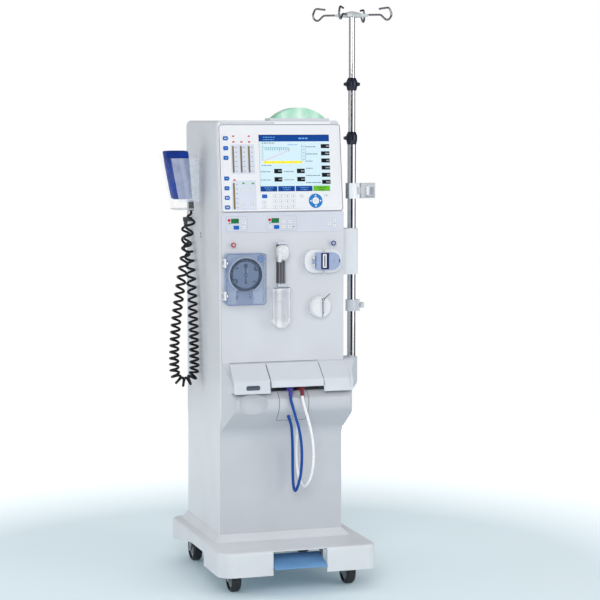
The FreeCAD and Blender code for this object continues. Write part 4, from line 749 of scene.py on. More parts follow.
TUBE_RADIUS = 4.3 * MM
blue_route = route((4, -191, 566), (4, -191, 557), (9.5, -194, 536), (16, -195, 512), (29, -195, 470),
                   (37, -195, 421), (38.5, -194, 372), (34, -194, 326), (26, -188, 292), (24, -171, 276),
                   (24, -154, 290), (24, -148, 328), (23.5, -149, 373), (21, -156, 416), (15, -170, 452),
                   (8, -185, 482), (5, -165, 503))
clear_route = route((40, -191, 566), (40, -191, 557), (45, -194, 536), (52, -195, 512), (64, -193, 472),
                    (73, -192, 425), (75, -192, 378), (71, -190, 335), (62, -182, 303), (54, -165, 287),
                    (46, -149, 302), (39, -142, 338), (36, -142, 382), (35, -149, 424), (32, -165, 457),
                    (29, -184, 483), (28, -165, 503))
for name, points, finish, length in (("rinse_tube_blue", blue_route, "blue_tube", 0.5460),
                                     ("rinse_tube_clear", clear_route, "clear_tube", 0.5288)):
    tube = spline(name + "_soft", points, TUBE_RADIUS)
    tube.data.materials.append(paint[finish])
    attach(tube, "frame")
    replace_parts(tube, name)

hose_route = route((-223, 82, 1101), (-223, 82, 1082), (-229, 84, 1046), (-237, 86, 994), (-246, 87, 936),
                   (-255, 90, 878), (-263, 91, 820), (-269, 94, 763), (-273, 95, 711), (-274.5, 97, 669),
                   (-274, 98, 633), (-272, 99, 604), (-261, 100, 586), (-241.5, 101, 579), (-222, 102, 586),
                   (-211, 103, 604), (-209, 105, 634), (-210, 107, 672), (-209, 111, 718), (-210, 117, 771),
                   (-209, 124, 826), (-210, 136, 882), (-209, 150, 936), (-210, 178, 986), (-209, 205, 1010),
                   (-209, 205, 1053))
COIL_RADIUS = 12.6 * MM
STRAND_RADIUS = 3.8 * MM
PITCH_TOP, PITCH_FOOT = 0.033, 0.0175
PITCH_LOW, PITCH_RISE, PITCH_BEND = 0.60, 0.42, 1.3
LEAD, EASE, FINE = 0.012, 0.02, 0.0004
TURN_POINTS = 14


def coil_points(points):
    """The helix round a route: its pitch opens with height, where more hose hangs below and pulls."""
    guide = spline("hose_guide", points)
    flat = bpy.data.meshes.new_from_object(guide.evaluated_get(bpy.context.evaluated_depsgraph_get()))
    path = [vertex.co.copy() for vertex in flat.vertices]
    bpy.data.objects.remove(guide)
    bpy.data.meshes.remove(flat)
    steps = [0.0]
    for here, there in zip(path, path[1:]):
        steps.append(steps[-1] + (there - here).length)
    whole = steps[-1]
    side = Vector((1, 0, 0))
    sides = []
    for index in range(len(path)):
        ahead = (path[min(index + 1, len(path) - 1)] - path[max(index - 1, 0)]).normalized()
        side = (side - ahead * side.dot(ahead)).normalized()
        sides.append((side.copy(), ahead.cross(side)))
    out = [path[0].copy()]
    angle, travelled = 0.0, 0.0
    index, last_angle = 0, -1.0
    while travelled < whole - LEAD / 2:
        travelled += FINE
        while steps[index + 1] < travelled:
            index += 1
        share = (travelled - steps[index]) / (steps[index + 1] - steps[index])
        centre = path[index].lerp(path[index + 1], share)
        height = min(1.0, max(0.0, (centre.z - PITCH_LOW) / PITCH_RISE))
        angle += math.tau * FINE / (PITCH_FOOT + (PITCH_TOP - PITCH_FOOT) * height ** PITCH_BEND)
        if travelled < LEAD / 2 or angle - last_angle < math.tau / TURN_POINTS:
            continue
        last_angle = angle
        ease = min(1.0, (travelled - LEAD / 2) / EASE, (whole - travelled) / EASE)
        reach = COIL_RADIUS * math.sin(ease * math.pi / 2)
        across, up = sides[index]
        out.append(centre + (across * math.cos(angle) + up * math.sin(angle)) * reach)
    out.append(path[-1].copy())
    return out


hose = spline("cuff_hose_coil", coil_points(hose_route), STRAND_RADIUS)
hose.data.resolution_u = 2
hose.data.bevel_resolution = 3
hose.data.materials.append(paint["coil"])
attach(hose, "frame")
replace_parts(hose, "cuff_hose")

# Monitor
seam = Kit("monitor_seam_and_edge_shade", monitor, "seam", "grey")
seam.frame((-186.6, 186.6), (0.6, 257.6), 2.0, 0.25, "seam", 9.0)
# Painted shade: a grey strip along the top edge of the bezel, where its bevel lies in shadow.
ribbon(seam, "monitor_bezel", [(-183, 1362.6), (-16, 1362.6)], 3.4, 0.1, "grey")
ribbon(seam, "monitor_bezel", [(158, 1362.6), (181, 1362.6)], 3.4, 0.1, "grey")
seam.make(slot="casing")

DISPLAY_OUT = -0.3
screen = Kit("screen_fields", monitor, *["screen_" + key for key in SCREEN_COLOURS])


def field(u0, u1, v0, v1, finish, level=2):
    """A flat field of the screen, each level a hair above the one below."""
    high = DISPLAY_OUT + 0.15 * level
    screen.slab((u0, u1), (v0, v1), high, "screen_" + finish, 0.4, DISPLAY_OUT - 0.1, 0.03)


def dashes(left, right, v, tall, finish, level=2, spans=(5, 8, 4, 7)):
    """A row of short bars, where a screen would show a caption."""
    index = 0
    while left < right - 2:
        end = min(right, left + spans[index % len(spans)])
        field(left, end, v - tall / 2, v + tall / 2, finish, level)
        left = end + 1.8
        index += 1


SCREEN_LEFT, SCREEN_RIGHT = -65.8, 151.0
field(SCREEN_LEFT, SCREEN_RIGHT, 59.5, 225.8, "ground", 1)
field(SCREEN_LEFT, SCREEN_RIGHT, 207, 225.8, "blue")
dashes(56, 85, 216, 4.2, "sky", 3, (9, 7, 9))
dashes(-53, -15, 219.6, 2.0, "sky", 3)
dashes(-53, -19, 212.4, 2.0, "sky", 3)
CHART_LEFT, CHART_RIGHT, CHART_FOOT = -55.0, 64.6, 142.2
field(CHART_LEFT, CHART_RIGHT, CHART_FOOT, 149.4, "yellow")
for u in (-51, -27, 3, 32, 44, 60):
    field(u, u + 3.4, 144.9, 147.0, "grey", 3)
for u in (CHART_LEFT, CHART_RIGHT, 75.8):
    field(u - 0.4, u + 0.4, 149.4, 198, "grey")
field(CHART_LEFT, 24, 189.2, 189.9, "teal")
for step in range(14):
    left = -48.5 + step * 5.6
    field(left, left + 1.8, 188.6 - (10.5 if step in (8, 13) else 7.5), 188.6, "teal")
for step in range(5):
    field(CHART_RIGHT + 3, CHART_RIGHT + 8.5, 153 + step * 9.6, 155 + step * 9.6, "sky")
    field(CHART_LEFT - 7, CHART_LEFT - 3, 152 + step * 9.0, 153.6 + step * 9.0, "red")
screen.line([(-52, 150.5), (-20, 162.5), (25, 181.3)], 0.9, DISPLAY_OUT + 0.5, "screen_red")
dashes(-58, -18, 202.5, 2.6, "grey")
dashes(22, 52, 197.5, 2.0, "sky")
dashes(-60, -30, 136.5, 2.4, "grey")
VALUE_ROWS = ((192.7, 108), (171.3, 114), (150.1, 100), (128.9, 99), (107.6, 119), (86.6, 121))
for index, (v, right) in enumerate(VALUE_ROWS):
    field(124.6, SCREEN_RIGHT, v - 6.0, v + 6.0, "black")
    dashes(78 - index * 0.7, right, v - 1.6, 2.6, "grey")
    for digit in range(3 + index % 2):
        field(148.0 - digit * 3.4, 149.2 - digit * 3.4, v - 2.1, v + 2.1, "white", 3)
for left, label in ((-22.4, -64), (47.6, 7.5)):
    for v in (119.6, 95.3):
        field(left, left + 24.2, v - 6.6, v + 6.6, "black")
        dashes(label, label + 30, v - 1.6, 2.4, "grey")
        for digit in range(3):
            field(left + 20.8 - digit * 3.6, left + 22.0 - digit * 3.6, v - 2.1, v + 2.1, "white", 3)
for index in range(4):
    left = -66.6 + index * 54.3
    shade, mark = ("green", "dark_green") if index == 3 else ("blue", "sky")
    field(left, left + 51.6, 59.8, 75.4, shade)
    dashes(left + 13, left + 39, 70.6, 2.0, mark, 3)
    dashes(left + 17, left + 36, 64.6, 2.0, mark, 3)
screen.make(slot="screen")

keys = Kit("monitor_keys", monitor, "blue_key", "white_key", "key_edge", "key_tint", "arrow", "red_lamp",
           "green_lamp", "bar_brown", "scale")
KEY_OUT = 1.0
keys.slab((-152.5, -80.5), (112, 199), 0.16, "key_tint", 2.0)
keys.slab((-154.5, -79.5), (6, 93), 0.16, "key_tint", 2.0)
for index, v in enumerate((216.7, 187.9, 159.5, 99.2, 70.7, 42.6, 14.7)):
    u = -167.2 - 0.2 * index
    keys.slab((u - 7.6, u + 7.0), (v - 6, v + 6), KEY_OUT, "blue_key", 2.2)
    keys.shape([(u + 7.6, v - 2.6), (u + 10.2, v), (u + 7.6, v + 2.6)], -0.2, 0.4, "key_edge", 0.05)
    if index in (0, 5, 6):
        keys.slab((u - 3.6, u - 0.6), (v - 1.8, v + 1.8), KEY_OUT + 0.15, "white_key", 0.5)
        keys.slab((u + 0.6, u + 3.2), (v - 1.8, v + 1.8), KEY_OUT + 0.15, "white_key", 0.5)
    else:
        keys.tile(u, v, 2.4, 0.6, KEY_OUT + 0.15, "key_tint", 0.3)
for u, v in ((-143.4, 222.9), (-96, 222.9), (-143.3, 206.0), (-119, 206.0), (-95.4, 206.0), (-144.4, 94.4)):
    keys.tile(u, v, 3.6, 2.0, 0.8, "red_lamp", 1.6)
for u, v in ((-117.8, 84.7), (-88.9, 83.9)):
    keys.tile(u, v, 3.8, 2.2, 0.8, "green_lamp", 1.8)
for u, low, high in ((-145.6, 116.4, 193.8), (-121.4, 116.4, 193.8), (-97.5, 116.4, 193.8), (-147, 9.3, 86)):
    keys.slab((u - 3.2, u + 3.2), (low - 0.8, high + 0.8), 0.3, "key_edge", 1.0)
    keys.slab((u - 2.6, u + 2.6), (low, high), 0.55, "bar_brown", 0.6)
    for step in range(6):
        tick = low + 4 + (high - low - 8) * step / 5
        keys.slab((u + 7.0, u + 12.0), (tick - 0.9, tick + 0.9), 0.25, "scale", 0.3)
        keys.slab((u + 4.4, u + 6.2), (tick - 0.35, tick + 0.35), 0.25, "scale", 0.2)
for u, v in ((-118.6, 64.8), (-89.7, 64.5), (-119, 28.2), (-91, 28.4), (-119.2, 15.6), (-91, 15.4),
             (-55.5, 28.3), (-56, 16), (60.8, 45.5), (136, 46)):
    keys.tile(u, v, 6.0, 4.6, 0.7, "key_edge", 1.6)
    keys.tile(u, v, 5.4, 4.0, KEY_OUT, "white_key", 1.4)
    keys.tile(u, v, 2.6, 0.7, KEY_OUT + 0.15, "arrow", 0.3)
keys.slab((-62.6, -46.8), (40.3, 51.3), KEY_OUT, "blue_key", 1.6)
for u in (-22.3, -4.2, 14.4, 33):
    for v in (46, 30.6, 15.2):
        keys.tile(u, v, 6.6, 5.4, 0.5, "key_edge", 1.8)
        keys.tile(u, v, 6.0, 4.8, 0.75, "white_key", 1.6)
        keys.slab((u - 0.8, u + 1.4), (v - 2.0, v + 2.0), 0.9, "scale", 0.5)
keys.make(slot="panel")

RING_U, RING_V = 102.0, 31.0
ring_marks = Kit("ring_marks", monitor, "white_key", "key_edge")
for angle in (0, 90, 180, 270):
    tip = []
    for turn, reach in ((0, 18.6), (-14, 13.4), (14, 13.4)):
        bend = math.radians(angle + turn)
        tip.append((RING_U + reach * math.cos(bend), RING_V + reach * math.sin(bend)))
    ring_marks.shape(tip, 0.6, 1.25, "white_key", 0.1)
ring_marks.disc(RING_U, RING_V, 10.6, 1.1, "white_key", 0.05, 0.4, 28)
ring_marks.ring(RING_U, RING_V, 5.4, 4.4, 1.2, "key_edge", 1.0, 24)
ring_marks.tile(RING_U, RING_V, 2.4, 0.8, 1.2, "key_edge", 0.4, 1.0)
ring_marks.make("ring_key", "key_blue")

# Control strip
front = facing(PANEL_FACE)
strip = Kit("strip_controls", front, "key_edge", "white_key", "red_lamp", "green_lamp", "green_display",
            "blue_key", "arrow", "seam")
for left, right in ((-174, -108.5), (-50, 42)):
    strip.frame((left, right), (1047.5, 1092), 0.8, 0.25, "key_edge", 4.0)
for base, lamp_u in ((-157.9, -164.6), (-35.3, -41.4)):
    strip.disc(lamp_u, 1080.5, 4.2, 1.1, "red_lamp", sides=20)
    strip.disc(lamp_u + 1, 1071.5, 2.3, 0.8, "green_lamp", sides=14)
    strip.slab((base - 1, base + 23), (1071, 1085.6), 0.6, "seam", 1.2)
    strip.slab((base, base + 22), (1072, 1084.6), 0.9, "green_display", 0.8)
    for digit in range(3):
        left = base + 3 + digit * 6
        for v in (1074.6, 1078.2, 1081.8):
            strip.slab((left, left + 3.4), (v - 0.35, v + 0.35), 1.0, "green_lamp", 0.2)
    strip.slab((base + 7, base + 23.5), (1053.4, 1064.9), 1.0, "blue_key", 2.0)
for u, v in ((-120.1, 1074.2), (-120.1, 1059.8), (-40.8, 1059.4), (1.8, 1074.9), (1.8, 1059.9),
             (21.2, 1074.9), (20.6, 1059.6), (142.2, 1065.9), (158.4, 1074.9), (158.4, 1060.3)):
    strip.tile(u, v, 6.4, 5.6, 0.6, "key_edge", 1.8)
    strip.tile(u, v, 5.6, 4.8, 0.9, "white_key", 1.6)
    strip.shape([(u - 2.2, v - 1.2), (u + 2.2, v - 1.2), (u, v + 1.8)], 0.5, 1.05, "arrow", 0.05)
strip.disc(31.7, 1059.7, 2.0, 0.8, "green_lamp", sides=14)
strip.make(slot="panel")

# Pressure ports: a coloured ring round a white seat, and a dark disc set to one side of its middle, painted
# shade for the inside of its hole
ports = Kit("port_rings", front, "red_ring", "blue_ring", "white_key", "arrow")
for u, finish in ((-153.5, "red_ring"), (153.5, "blue_ring")):
    spot, _ = skin("hose_ports", u + 3.5, 1009)
    ports.place = facing(spot.y / MM)
    ports.ring(u, 1009, 7.3, 4.2, 0.8, finish, -2.0)
    ports.disc(u, 1009, 4.4, 0.3, "white_key")
    # Painted shade: the dark disc is the shaded inside of the port's hole.
    ports.disc(u + 0.8, 1009, 2.6, 0.4, "arrow", lip=0.1)
ports.make(slot="grey_plastic")

# Blood pump
ROTOR_U, ROTOR_V = -121.0, 922.0
PIVOT_U, PIVOT_V = 26.5, 20.0
rotor_marks = Kit("rotor_marks", facing(ROTOR_FACE), "rotor_dark", "rotor_edge", "rotor")
rotor_marks.ring(ROTOR_U, ROTOR_V, 39.7, 38.5, 0.3, "rotor_edge")
rotor_marks.ring(ROTOR_U, ROTOR_V + 26.5, 6.0, 4.0, 0.35, "rotor_dark")
rotor_marks.disc(ROTOR_U, ROTOR_V + 26.5, 2.2, 0.3, "rotor_dark", lip=0.1)
rotor_marks.disc(ROTOR_U, ROTOR_V, 5.4, 0.35, "rotor_dark", lip=0.1)
rotor_marks.disc(ROTOR_U, ROTOR_V, 3.2, 0.6, "rotor", lip=0.1)
rotor_marks.disc(ROTOR_U, ROTOR_V - 23.5, 3.2, 0.35, "rotor_dark", lip=0.1)
rotor_marks.slab((ROTOR_U - 0.9, ROTOR_U + 0.9), (ROTOR_V + 5, ROTOR_V + 21), 0.3, "rotor_dark", 0.5)
rotor_marks.slab((ROTOR_U - 0.9, ROTOR_U + 0.9), (ROTOR_V - 21, ROTOR_V - 5), 0.3, "rotor_dark", 0.5)
for side in (1, -1):
    u, v = ROTOR_U - side * PIVOT_U, ROTOR_V + side * PIVOT_V
    rotor_marks.disc(u, v, 2.8, 0.35, "rotor_dark", lip=0.1, sides=18)
    rotor_marks.ring(u, v, 3.8, 2.8, 0.25, "rotor_edge", sides=18)
rotor_marks.make("rotor", "dark_plastic")

DOOR_LEFT, DOOR_RIGHT, DOOR_FOOT, DOOR_TOP = -189.0, -62.0, 834.0, 985.0
door_trim = Kit("door_trim", facing(DOOR_FACE), "door_edge", "white_key")
door_trim.frame((DOOR_LEFT + 6.4, DOOR_RIGHT - 0.4), (DOOR_FOOT + 0.4, DOOR_TOP - 0.4), 1.8, 0.5,
                "door_edge", 9.0)
for v in (957.5, 862.5):
    door_trim.slab((DOOR_LEFT, DOOR_LEFT + 6), (v - 13, v + 13), 0.3, "white_key", 1.5, -6.0)
    door_trim.slab((DOOR_LEFT + 5, DOOR_LEFT + 13), (v - 6.4, v + 6.4), 0.5, "door_edge", 3.6)
    door_trim.slab((DOOR_LEFT + 6.6, DOOR_LEFT + 11.2), (v - 4.4, v + 4.4), 0.8, "white_key", 2.2)
door_trim.make("door", "door_clear")
LATCH_U, LATCH_V = -79.0, 970.0
latch_trim = Kit("latch_trim", facing(LATCH_FACE), "door_edge")
latch_trim.ring(LATCH_U, LATCH_V, 9.9, 8.7, 0.4, "door_edge")
latch_trim.ring(LATCH_U, LATCH_V, 4.4, 3.6, 0.3, "door_edge", sides=24)
latch_trim.tile(LATCH_U, LATCH_V, 3.4, 1.0, 0.3, "door_edge", 0.8)
latch_trim.make("latch", "teal")

# Syringe pump: its clear cup is one thin skin, open at its top and closed by the panel, with a printed scale
CUP_LEFT, CUP_RIGHT, CUP_FOOT, CUP_TOP, CUP_DEPTH = -42.0, 14.0, 763.0, 883.0, 31.6
CUP_STEPS = 18
cup = Kit("syringe_cup_shell", facing(CUP_FACE), "cup", "key_edge")
cup_round = (CUP_RIGHT - CUP_LEFT) / 2
for level, inset in ((-CUP_DEPTH, 0.0), (-4.0, 0.0), (-1.2, 1.2), (0.0, 4.0)):
    reach = cup_round - inset
    edge = [(-reach, CUP_TOP)]
    for step in range(CUP_STEPS + 1):
        bend = math.pi * step / CUP_STEPS
        edge.append((-reach * math.cos(bend), CUP_FOOT + cup_round - reach * math.sin(bend)))
    edge.append((reach, CUP_TOP))
    cup.points += [cup.place(CUP_LEFT + cup_round + u, v, level) for u, v in edge]
count = CUP_STEPS + 3
for row in range(3):
    for step in range(count - 1):
        here = row * count + step
        cup.faces.append((here, here + 1, here + count + 1, here + count))
        cup.slots.append(0)
cup.faces.append(tuple(range(3 * count, 4 * count)))
cup.slots.append(0)
cup.slab((CUP_LEFT, CUP_RIGHT), (CUP_TOP - 2.4, CUP_TOP), 0.0, "key_edge", 0.8, -1.6, 0.3)
for left in (CUP_LEFT, CUP_RIGHT - 1.2):
    cup.slab((left, left + 1.2), (CUP_FOOT + cup_round, CUP_TOP - 2.4), -1.0, "key_edge", 0.5, -2.4, 0.1)
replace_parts(cup.make(slot="clear", smooth=True), "syringe_cup")
cup_scale = Kit("cup_scale", facing(CUP_FACE), "scale")
for step in range(9):
    foot = 845.8 + step * 4
    cup_scale.slab((-39.5, -28 if step % 4 else -22), (foot, foot + 0.6), 0.2, "scale", 0.2, -0.1, 0.03)
cup_scale.slab((-39.5, -12), (840.4, 841.2), 0.2, "scale", 0.2, -0.1, 0.03)
cup_scale.make(slot="clear")

# The plunger carriage: a round thumb hub on its slide, a pale pusher and two clear wings for the flange
HUB_U, HUB_V, HUB_SQUARENESS = -8, 986, 0.8


def squared(share):
    """Draws a sine or cosine outward, which turns an oval into a squarer one."""
    return math.copysign(abs(share) ** HUB_SQUARENESS, share)


hub = [(HUB_U + 18.5 * squared(across), HUB_V + 21.2 * squared(up)) for across, up in circle(0, 0, 1, 28)]
carriage = Kit("carriage_shell", facing(CARRIAGE_FACE), "white", "clear", "key_edge", "pale_grey")
carriage.shape(hub, -28.5, -6.0, "white", 2.5)
cap = [(HUB_U + (u - HUB_U) * 0.80, HUB_V + 3 + (v - HUB_V) * 0.78) for u, v in hub]
carriage.shape(cap, -7.0, -1.2, "white", 2.0)
carriage.ring(HUB_U, HUB_V + 4, 9.4, 8.6, -1.0, "key_edge", -1.6, 28)
carriage.slab((-24.5, -15.0), (957.4, 985), -0.6, "white", 2.0, -20.0, 1.2)
carriage.slab((-12.5, 5.0), (962, 974), -7.0, "pale_grey", 2.0, -26.0, 1.0)
for left, right in ((-34.6, -23.0), (7.0, 18.6)):
    carriage.slab((left, right), (958, 984), -21.0, "clear", 3.0, -25.5, 0.8)
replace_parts(carriage.make("carriage", "white_plastic", True), "plunger_carriage")

# Air detector: the navy frame and the window of its flap, its tip and its hinge
flap_marks = Kit("flap_marks", facing(DETECTOR_FACE), "navy", "white_key", "grey", "slate")
flap_marks.slab((108.2, 133.0), (933.4, 981.8), 0.5, "navy", 1.2)
flap_marks.slab((113.4, 125.0), (938.0, 978.6), 0.8, "white_key", 1.0)
flap_marks.slab((117.0, 121.6), (941.0, 975.6), 0.95, "grey", 1.0)
flap_marks.slab((118.2, 120.2), (944.0, 972.6), 1.05, "slate", 0.8)
flap_marks.slab((163.6, 166.6), (953.6, 962.6), 0.7, "navy", 1.2)
flap_marks.make("detector_lid", "door_clear")

# Level sensor: its slot, its pivot and the small screw below
level_marks = Kit("level_marks", facing(LEVEL_FACE), "grey", "slate", "key_tint")
level_marks.slab((116.4, 117.6), (806.0, 838.6), 0.15, "grey", 0.5)
level_marks.slab((118.4, 123.4), (807.0, 836.0), 0.12, "key_tint", 1.0)
level_marks.disc(117.0, 804.6, 1.5, 0.3, "slate", sides=14)
level_marks.make(slot="white_plastic")

# Hydraulics block: painted shade in the lid's grip recess, a dark slab of painted shade in the room under the
# flap, and seams that follow the moulding
# Painted shade: dark slabs fill the lid's grip recess, darkest under its top.
grip_shade = Kit("lid_grip_shade", facing(LID_FACE), "grip_shade", "slate")
grip_shade.slab((-130.6, -88.4), (586.4, 599.8), 1.6, "grip_shade", 5.0, -1.5, 0.5)
grip_shade.slab((-126.6, -92.4), (595.4, 598.6), 1.75, "slate", 1.4, 1.0, 0.1)
grip_shade.make("lid_left", "casing")
# Painted shade: a dark slab stands for the shaded room under the flap.
shade = Kit("flap_room_shade", facing(FLAP_ROOM_BACK), "painted_hollow_shade")
shade.slab((-53.4, 106.0), (581, 611), 1.2, "painted_hollow_shade", 1.0, -0.4, 0.1)
shade.make(slot="grey_plastic")

seams = Kit("block_seams", front, "seam")
ribbon(seams, "insert_panel", [(-28.8, 577), (-28.8, 490), (61.8, 490), (61.8, 577)], 2.2, 0.15, "seam")
ribbon(seams, "block_cover", [(-164, 661.4), (108, 661.4)], 1.8, 0.15, "seam")
seams.make(slot="casing")
SCREW_U = 259.5
arm_marks = Kit("holder_marks", front, "slate", "seam", "white_key", "grey")
for v in (1178.5, 1145.0):
    spot, _ = skin("holder_arm", SCREW_U, v)
    if spot is not None:
        arm_marks.place = facing(spot.y / MM)
        arm_marks.disc(SCREW_U, v, 2.0, 0.4, "slate", sides=16)
spot, _ = skin("holder_arm", 285.0, 1160.0)
arm_marks.place = facing(spot.y / MM)
arm_marks.slab((276, 284), (1148, 1174), 0.35, "white_key", 2.0)
arm_marks.slab((286.5, 299), (1148, 1172), 0.2, "grey", 1.0)
arm_marks.slab((274, 302), (1143.6, 1145.0), 0.4, "seam", 0.5)
arm_marks.make("clamp_arm", "grey_plastic")
for name, node, u, foot, body in (("left_lid_edge", "left_lid", -56.2, 578, "lid_left"),
                                  ("flap_edges", "centre_flap", 106.6, 595, "flap_centre")):
    gap = Kit(name, front, "dark_seam")
    ribbon(gap, node, [(u, 655), (u, foot)], 2.0, 0.12, "dark_seam")
    gap.make(body, "casing")

# Small holes in the left side: black discs in them are painted shade for their dark insides
holes = Kit("side_holes", left_side, "black", "seam")
for v in (1030.8, 1021.7):
    holes.ring(93, v, 4.0, 3.4, 0.35, "seam", -0.2, 20)
    holes.disc(93, v, 3.5, 0.2, "black", -0.2, 0.05, 20)
holes.make(slot="black_plastic")


# The cuff: a padded, folded cloth in its pocket
def cuff_outline(inset):
    """The cuff seen from the front, anticlockwise from its foot: it widens to the top like the pocket."""
    low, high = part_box("cuff")
    foot, top = low[2] / MM + inset, high[2] / MM - inset
    left_top, right_foot = low[0] / MM + inset, high[0] / MM - inset
    left_foot, right_top = left_top + 27.0, right_foot - 11.0
    return [(left_foot, foot), (right_foot, foot), (right_top, top), (left_top, top)]


SWELL_ROOM, CUFF_STEPS = 3.0, 6


def cuff_piece():
    """The cuff before it swells, with rounded rims, as one closed skin."""
    low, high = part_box("cuff")
    near, far = low[1] / MM + SWELL_ROOM, high[1] / MM - SWELL_ROOM
    outline = cuff_outline(SWELL_ROOM)
    middle = [sum(point[axis] for point in outline) / 4 for axis in (0, 1)]
    rows = []
    for y, inset in ((near, 5.0), (near + 4, 1.0), ((near + far) / 2, 0.0), (far - 4, 1.0), (far, 5.0)):
        ring = []
        for here, there in zip(outline, outline[1:] + outline[:1]):
            for part in range(CUFF_STEPS):
                u = here[0] + (there[0] - here[0]) * part / CUFF_STEPS
                v = here[1] + (there[1] - here[1]) * part / CUFF_STEPS
                u, v = drawn_in((u, v), middle, 1 - inset / math.dist((u, v), middle))
                ring.append(Vector((u, y, v)) * MM)
        rows.append(ring)
    kit = Kit("cuff_pad", front, "cloth")
    kit.loops(rows, "cloth")
    return kit.make("frame", "cuff_cloth")


def swell(piece, voxel, pressure, frames, reach):
    """Blows a closed cloth up a little, as its filling does. Each point stays within reach of its start."""
    remesh = piece.modifiers.new("even", "REMESH")
    remesh.mode = "VOXEL"
    remesh.voxel_size = voxel
    settle(piece)
    start = [corner.co.copy() for corner in piece.data.vertices]
    cloth = piece.modifiers.new("cloth", "CLOTH")
    cloth.settings.use_pressure = True
    cloth.settings.uniform_pressure_force = pressure
    cloth.settings.effector_weights.gravity = 0
    cloth.settings.quality = 6
    cloth.point_cache.frame_end = frames
    for step in range(1, frames + 1):
        scene.frame_set(step)
    settle(piece)
    scene.frame_set(1)
    for corner, first in zip(piece.data.vertices, start):
        move = corner.co - first
        if move.length > reach:
            corner.co = first + move.normalized() * reach


def settle(piece):
    """Keeps the shape that a piece's modifiers give it, and takes them off."""
    depsgraph = bpy.context.evaluated_depsgraph_get()
    mesh = bpy.data.meshes.new_from_object(piece.evaluated_get(depsgraph))
    for finish in piece.data.materials:
        if finish.name not in mesh.materials:
            mesh.materials.append(finish)
    piece.modifiers.clear()
    piece.data = mesh


pad = cuff_piece()
swell(pad, voxel=0.0045, pressure=4.0, frames=16, reach=0.0035)
for face in pad.data.polygons:
    face.use_smooth = True
round_off = pad.modifiers.new("smooth", "SUBSURF")
round_off.levels = round_off.render_levels = 1
settle(pad)
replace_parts(pad, "cuff")
skins["cuff_pad"] = skin_of(pad.data)
hem = Kit("cuff_hem", front, "binding")
ribbon(hem, "cuff_pad", [(-302, 1277.5), (-238, 1277.5)], 3.2, 0.35, "binding")
ribbon(hem, "cuff_pad", [(-299.5, 1268), (-275, 1146)], 2.4, 0.3, "binding")
for step in range(15):
    left = -300 + step * 4.2
    ribbon(hem, "cuff_pad", [(left, 1272.4), (left + 2.4, 1272.4)], 0.8, 0.3, "binding", step=1.2)
hem.make("frame", "cuff_cloth")


# Stage and light
FLOOR_NEAR, FLOOR_FAR, FLOOR_EDGE = 1.0, 2.6, 3.4
FLOOR_LIT = (0.80, 0.88, 0.92, 1)
FLOOR_GLOW = (0.03, 0.07, 0.09, 1)


def seen_directly(tree):
    """Whether a ray is one of gloss, and whether it is one of the camera, of gloss or of a clear part."""
    rays = tree.node("ShaderNodeLightPath").outputs
    gloss = rays["Is Glossy Ray"]
    either = tree.math("MAXIMUM", rays["Is Camera Ray"], gloss)
    return gloss, tree.math("MAXIMUM", either, rays["Is Transmission Ray"])


def floor_plane():
    """A pale blue floor that turns white far off, so that no horizon shows, but keeps the object's shadow."""
    mesh = bpy.data.meshes.new("floor")
    mesh.from_pydata([(x, y, 0) for x, y in circle(0, 0, FLOOR_EDGE, 96)], [], [tuple(range(96))])
    graph = Graph("floor")
    away = graph.node("ShaderNodeVectorMath", {0: graph.place}, operation="LENGTH").outputs["Value"]
    far = graph.spread(away, 0, 1, FLOOR_NEAR, FLOOR_FAR)
    graph.link(FLOOR_LIT, "Base Color")
    graph.link(0.7, "Roughness")
    graph.link(0.1, "Specular IOR Level")
    graph.link(graph.mix(far, FLOOR_GLOW, (1, 1, 1, 1)), "Emission Color")
    graph.link(seen_directly(graph)[1], "Emission Strength")
    mesh.materials.append(graph.material)
    added("floor", mesh)


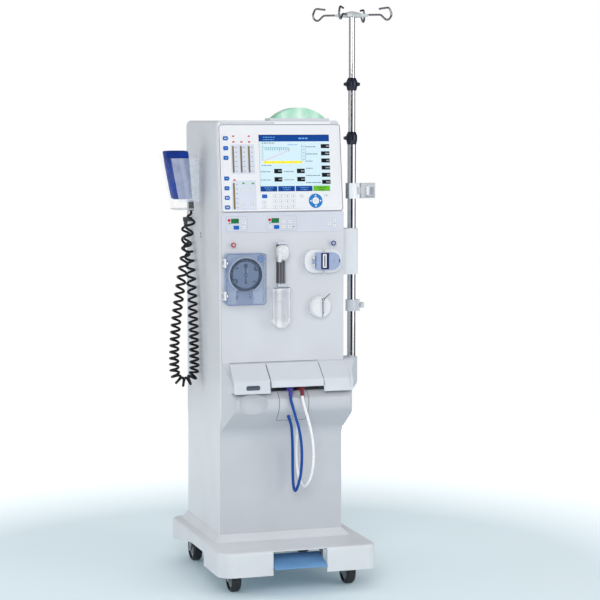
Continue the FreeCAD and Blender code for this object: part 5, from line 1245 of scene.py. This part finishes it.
AMBIENT, BACKDROP = 0.63, 1.0
STUDIO = ((-180, 0.40), (-150, 0.30), (-92, 0.26), (-80, 0.62), (-32, 0.74), (-24, 0.02),
          (24, 0.02), (32, 1.0), (80, 1.0), (88, 0.08), (165, 0.10), (180, 0.34))


def studio_world():
    """White to the eye, an even level to plain surfaces, and soft boxes with dark gaps to polished tubes."""
    world = bpy.data.worlds.new("world")
    scene.world = world
    world.use_nodes = True
    tree = Tree(world.node_tree)
    way = tree.node("ShaderNodeTexCoord").outputs["Generated"]
    way = tree.node("ShaderNodeSeparateXYZ", {"Vector": way}).outputs
    right = (math.cos(VIEW_YAW), -math.sin(VIEW_YAW))
    ahead = (-math.sin(VIEW_YAW), -math.cos(VIEW_YAW))
    parts = [tree.math("MULTIPLY_ADD", way["Y"], y_share, tree.times(way["X"], x_share))
             for x_share, y_share in (right, ahead)]
    turn = tree.spread(tree.math("ARCTAN2", *parts), 0, 1, -math.pi, math.pi)
    ramp = tree.node("ShaderNodeValToRGB", {"Fac": turn})
    stops = ramp.color_ramp.elements
    for degrees, _ in STUDIO[1:-1]:
        stops.new((degrees + 180) / 360)
    for stop, (_, level) in zip(stops, STUDIO):
        stop.color = (level, level, level, 1)
    gloss, seen = seen_directly(tree)
    background = world.node_tree.nodes["Background"].inputs
    tree.put(tree.mix(gloss, (1, 1, 1, 1), ramp.outputs["Color"]), background["Color"])
    tree.put(tree.spread(seen, AMBIENT, BACKDROP, 0, 1), background["Strength"])


def soft_box(name, place, aim, size, watts, colour):
    data = bpy.data.lights.new(name, "AREA")
    data.shape = "RECTANGLE"
    data.size, data.size_y = size
    data.energy = watts
    data.color = colour
    made = added(name, data)
    made.location = place
    made.rotation_euler = (Vector(aim) - Vector(place)).to_track_quat("-Z", "Y").to_euler()


floor_plane()
studio_world()
soft_box("key", (-1.8, -4.2, 2.6), (0, 0, 0.9), (2.0, 2.0), 78, (1.0, 0.985, 0.97))
soft_box("fill", (3.2, -2.8, 1.6), (0, 0, 0.8), (1.6, 2.6), 36, (1.0, 0.99, 0.98))
soft_box("back", (-2.8, 1.6, 0.7), (0, 0, 0.5), (1.6, 1.4), 15, (0.98, 0.99, 1.0))
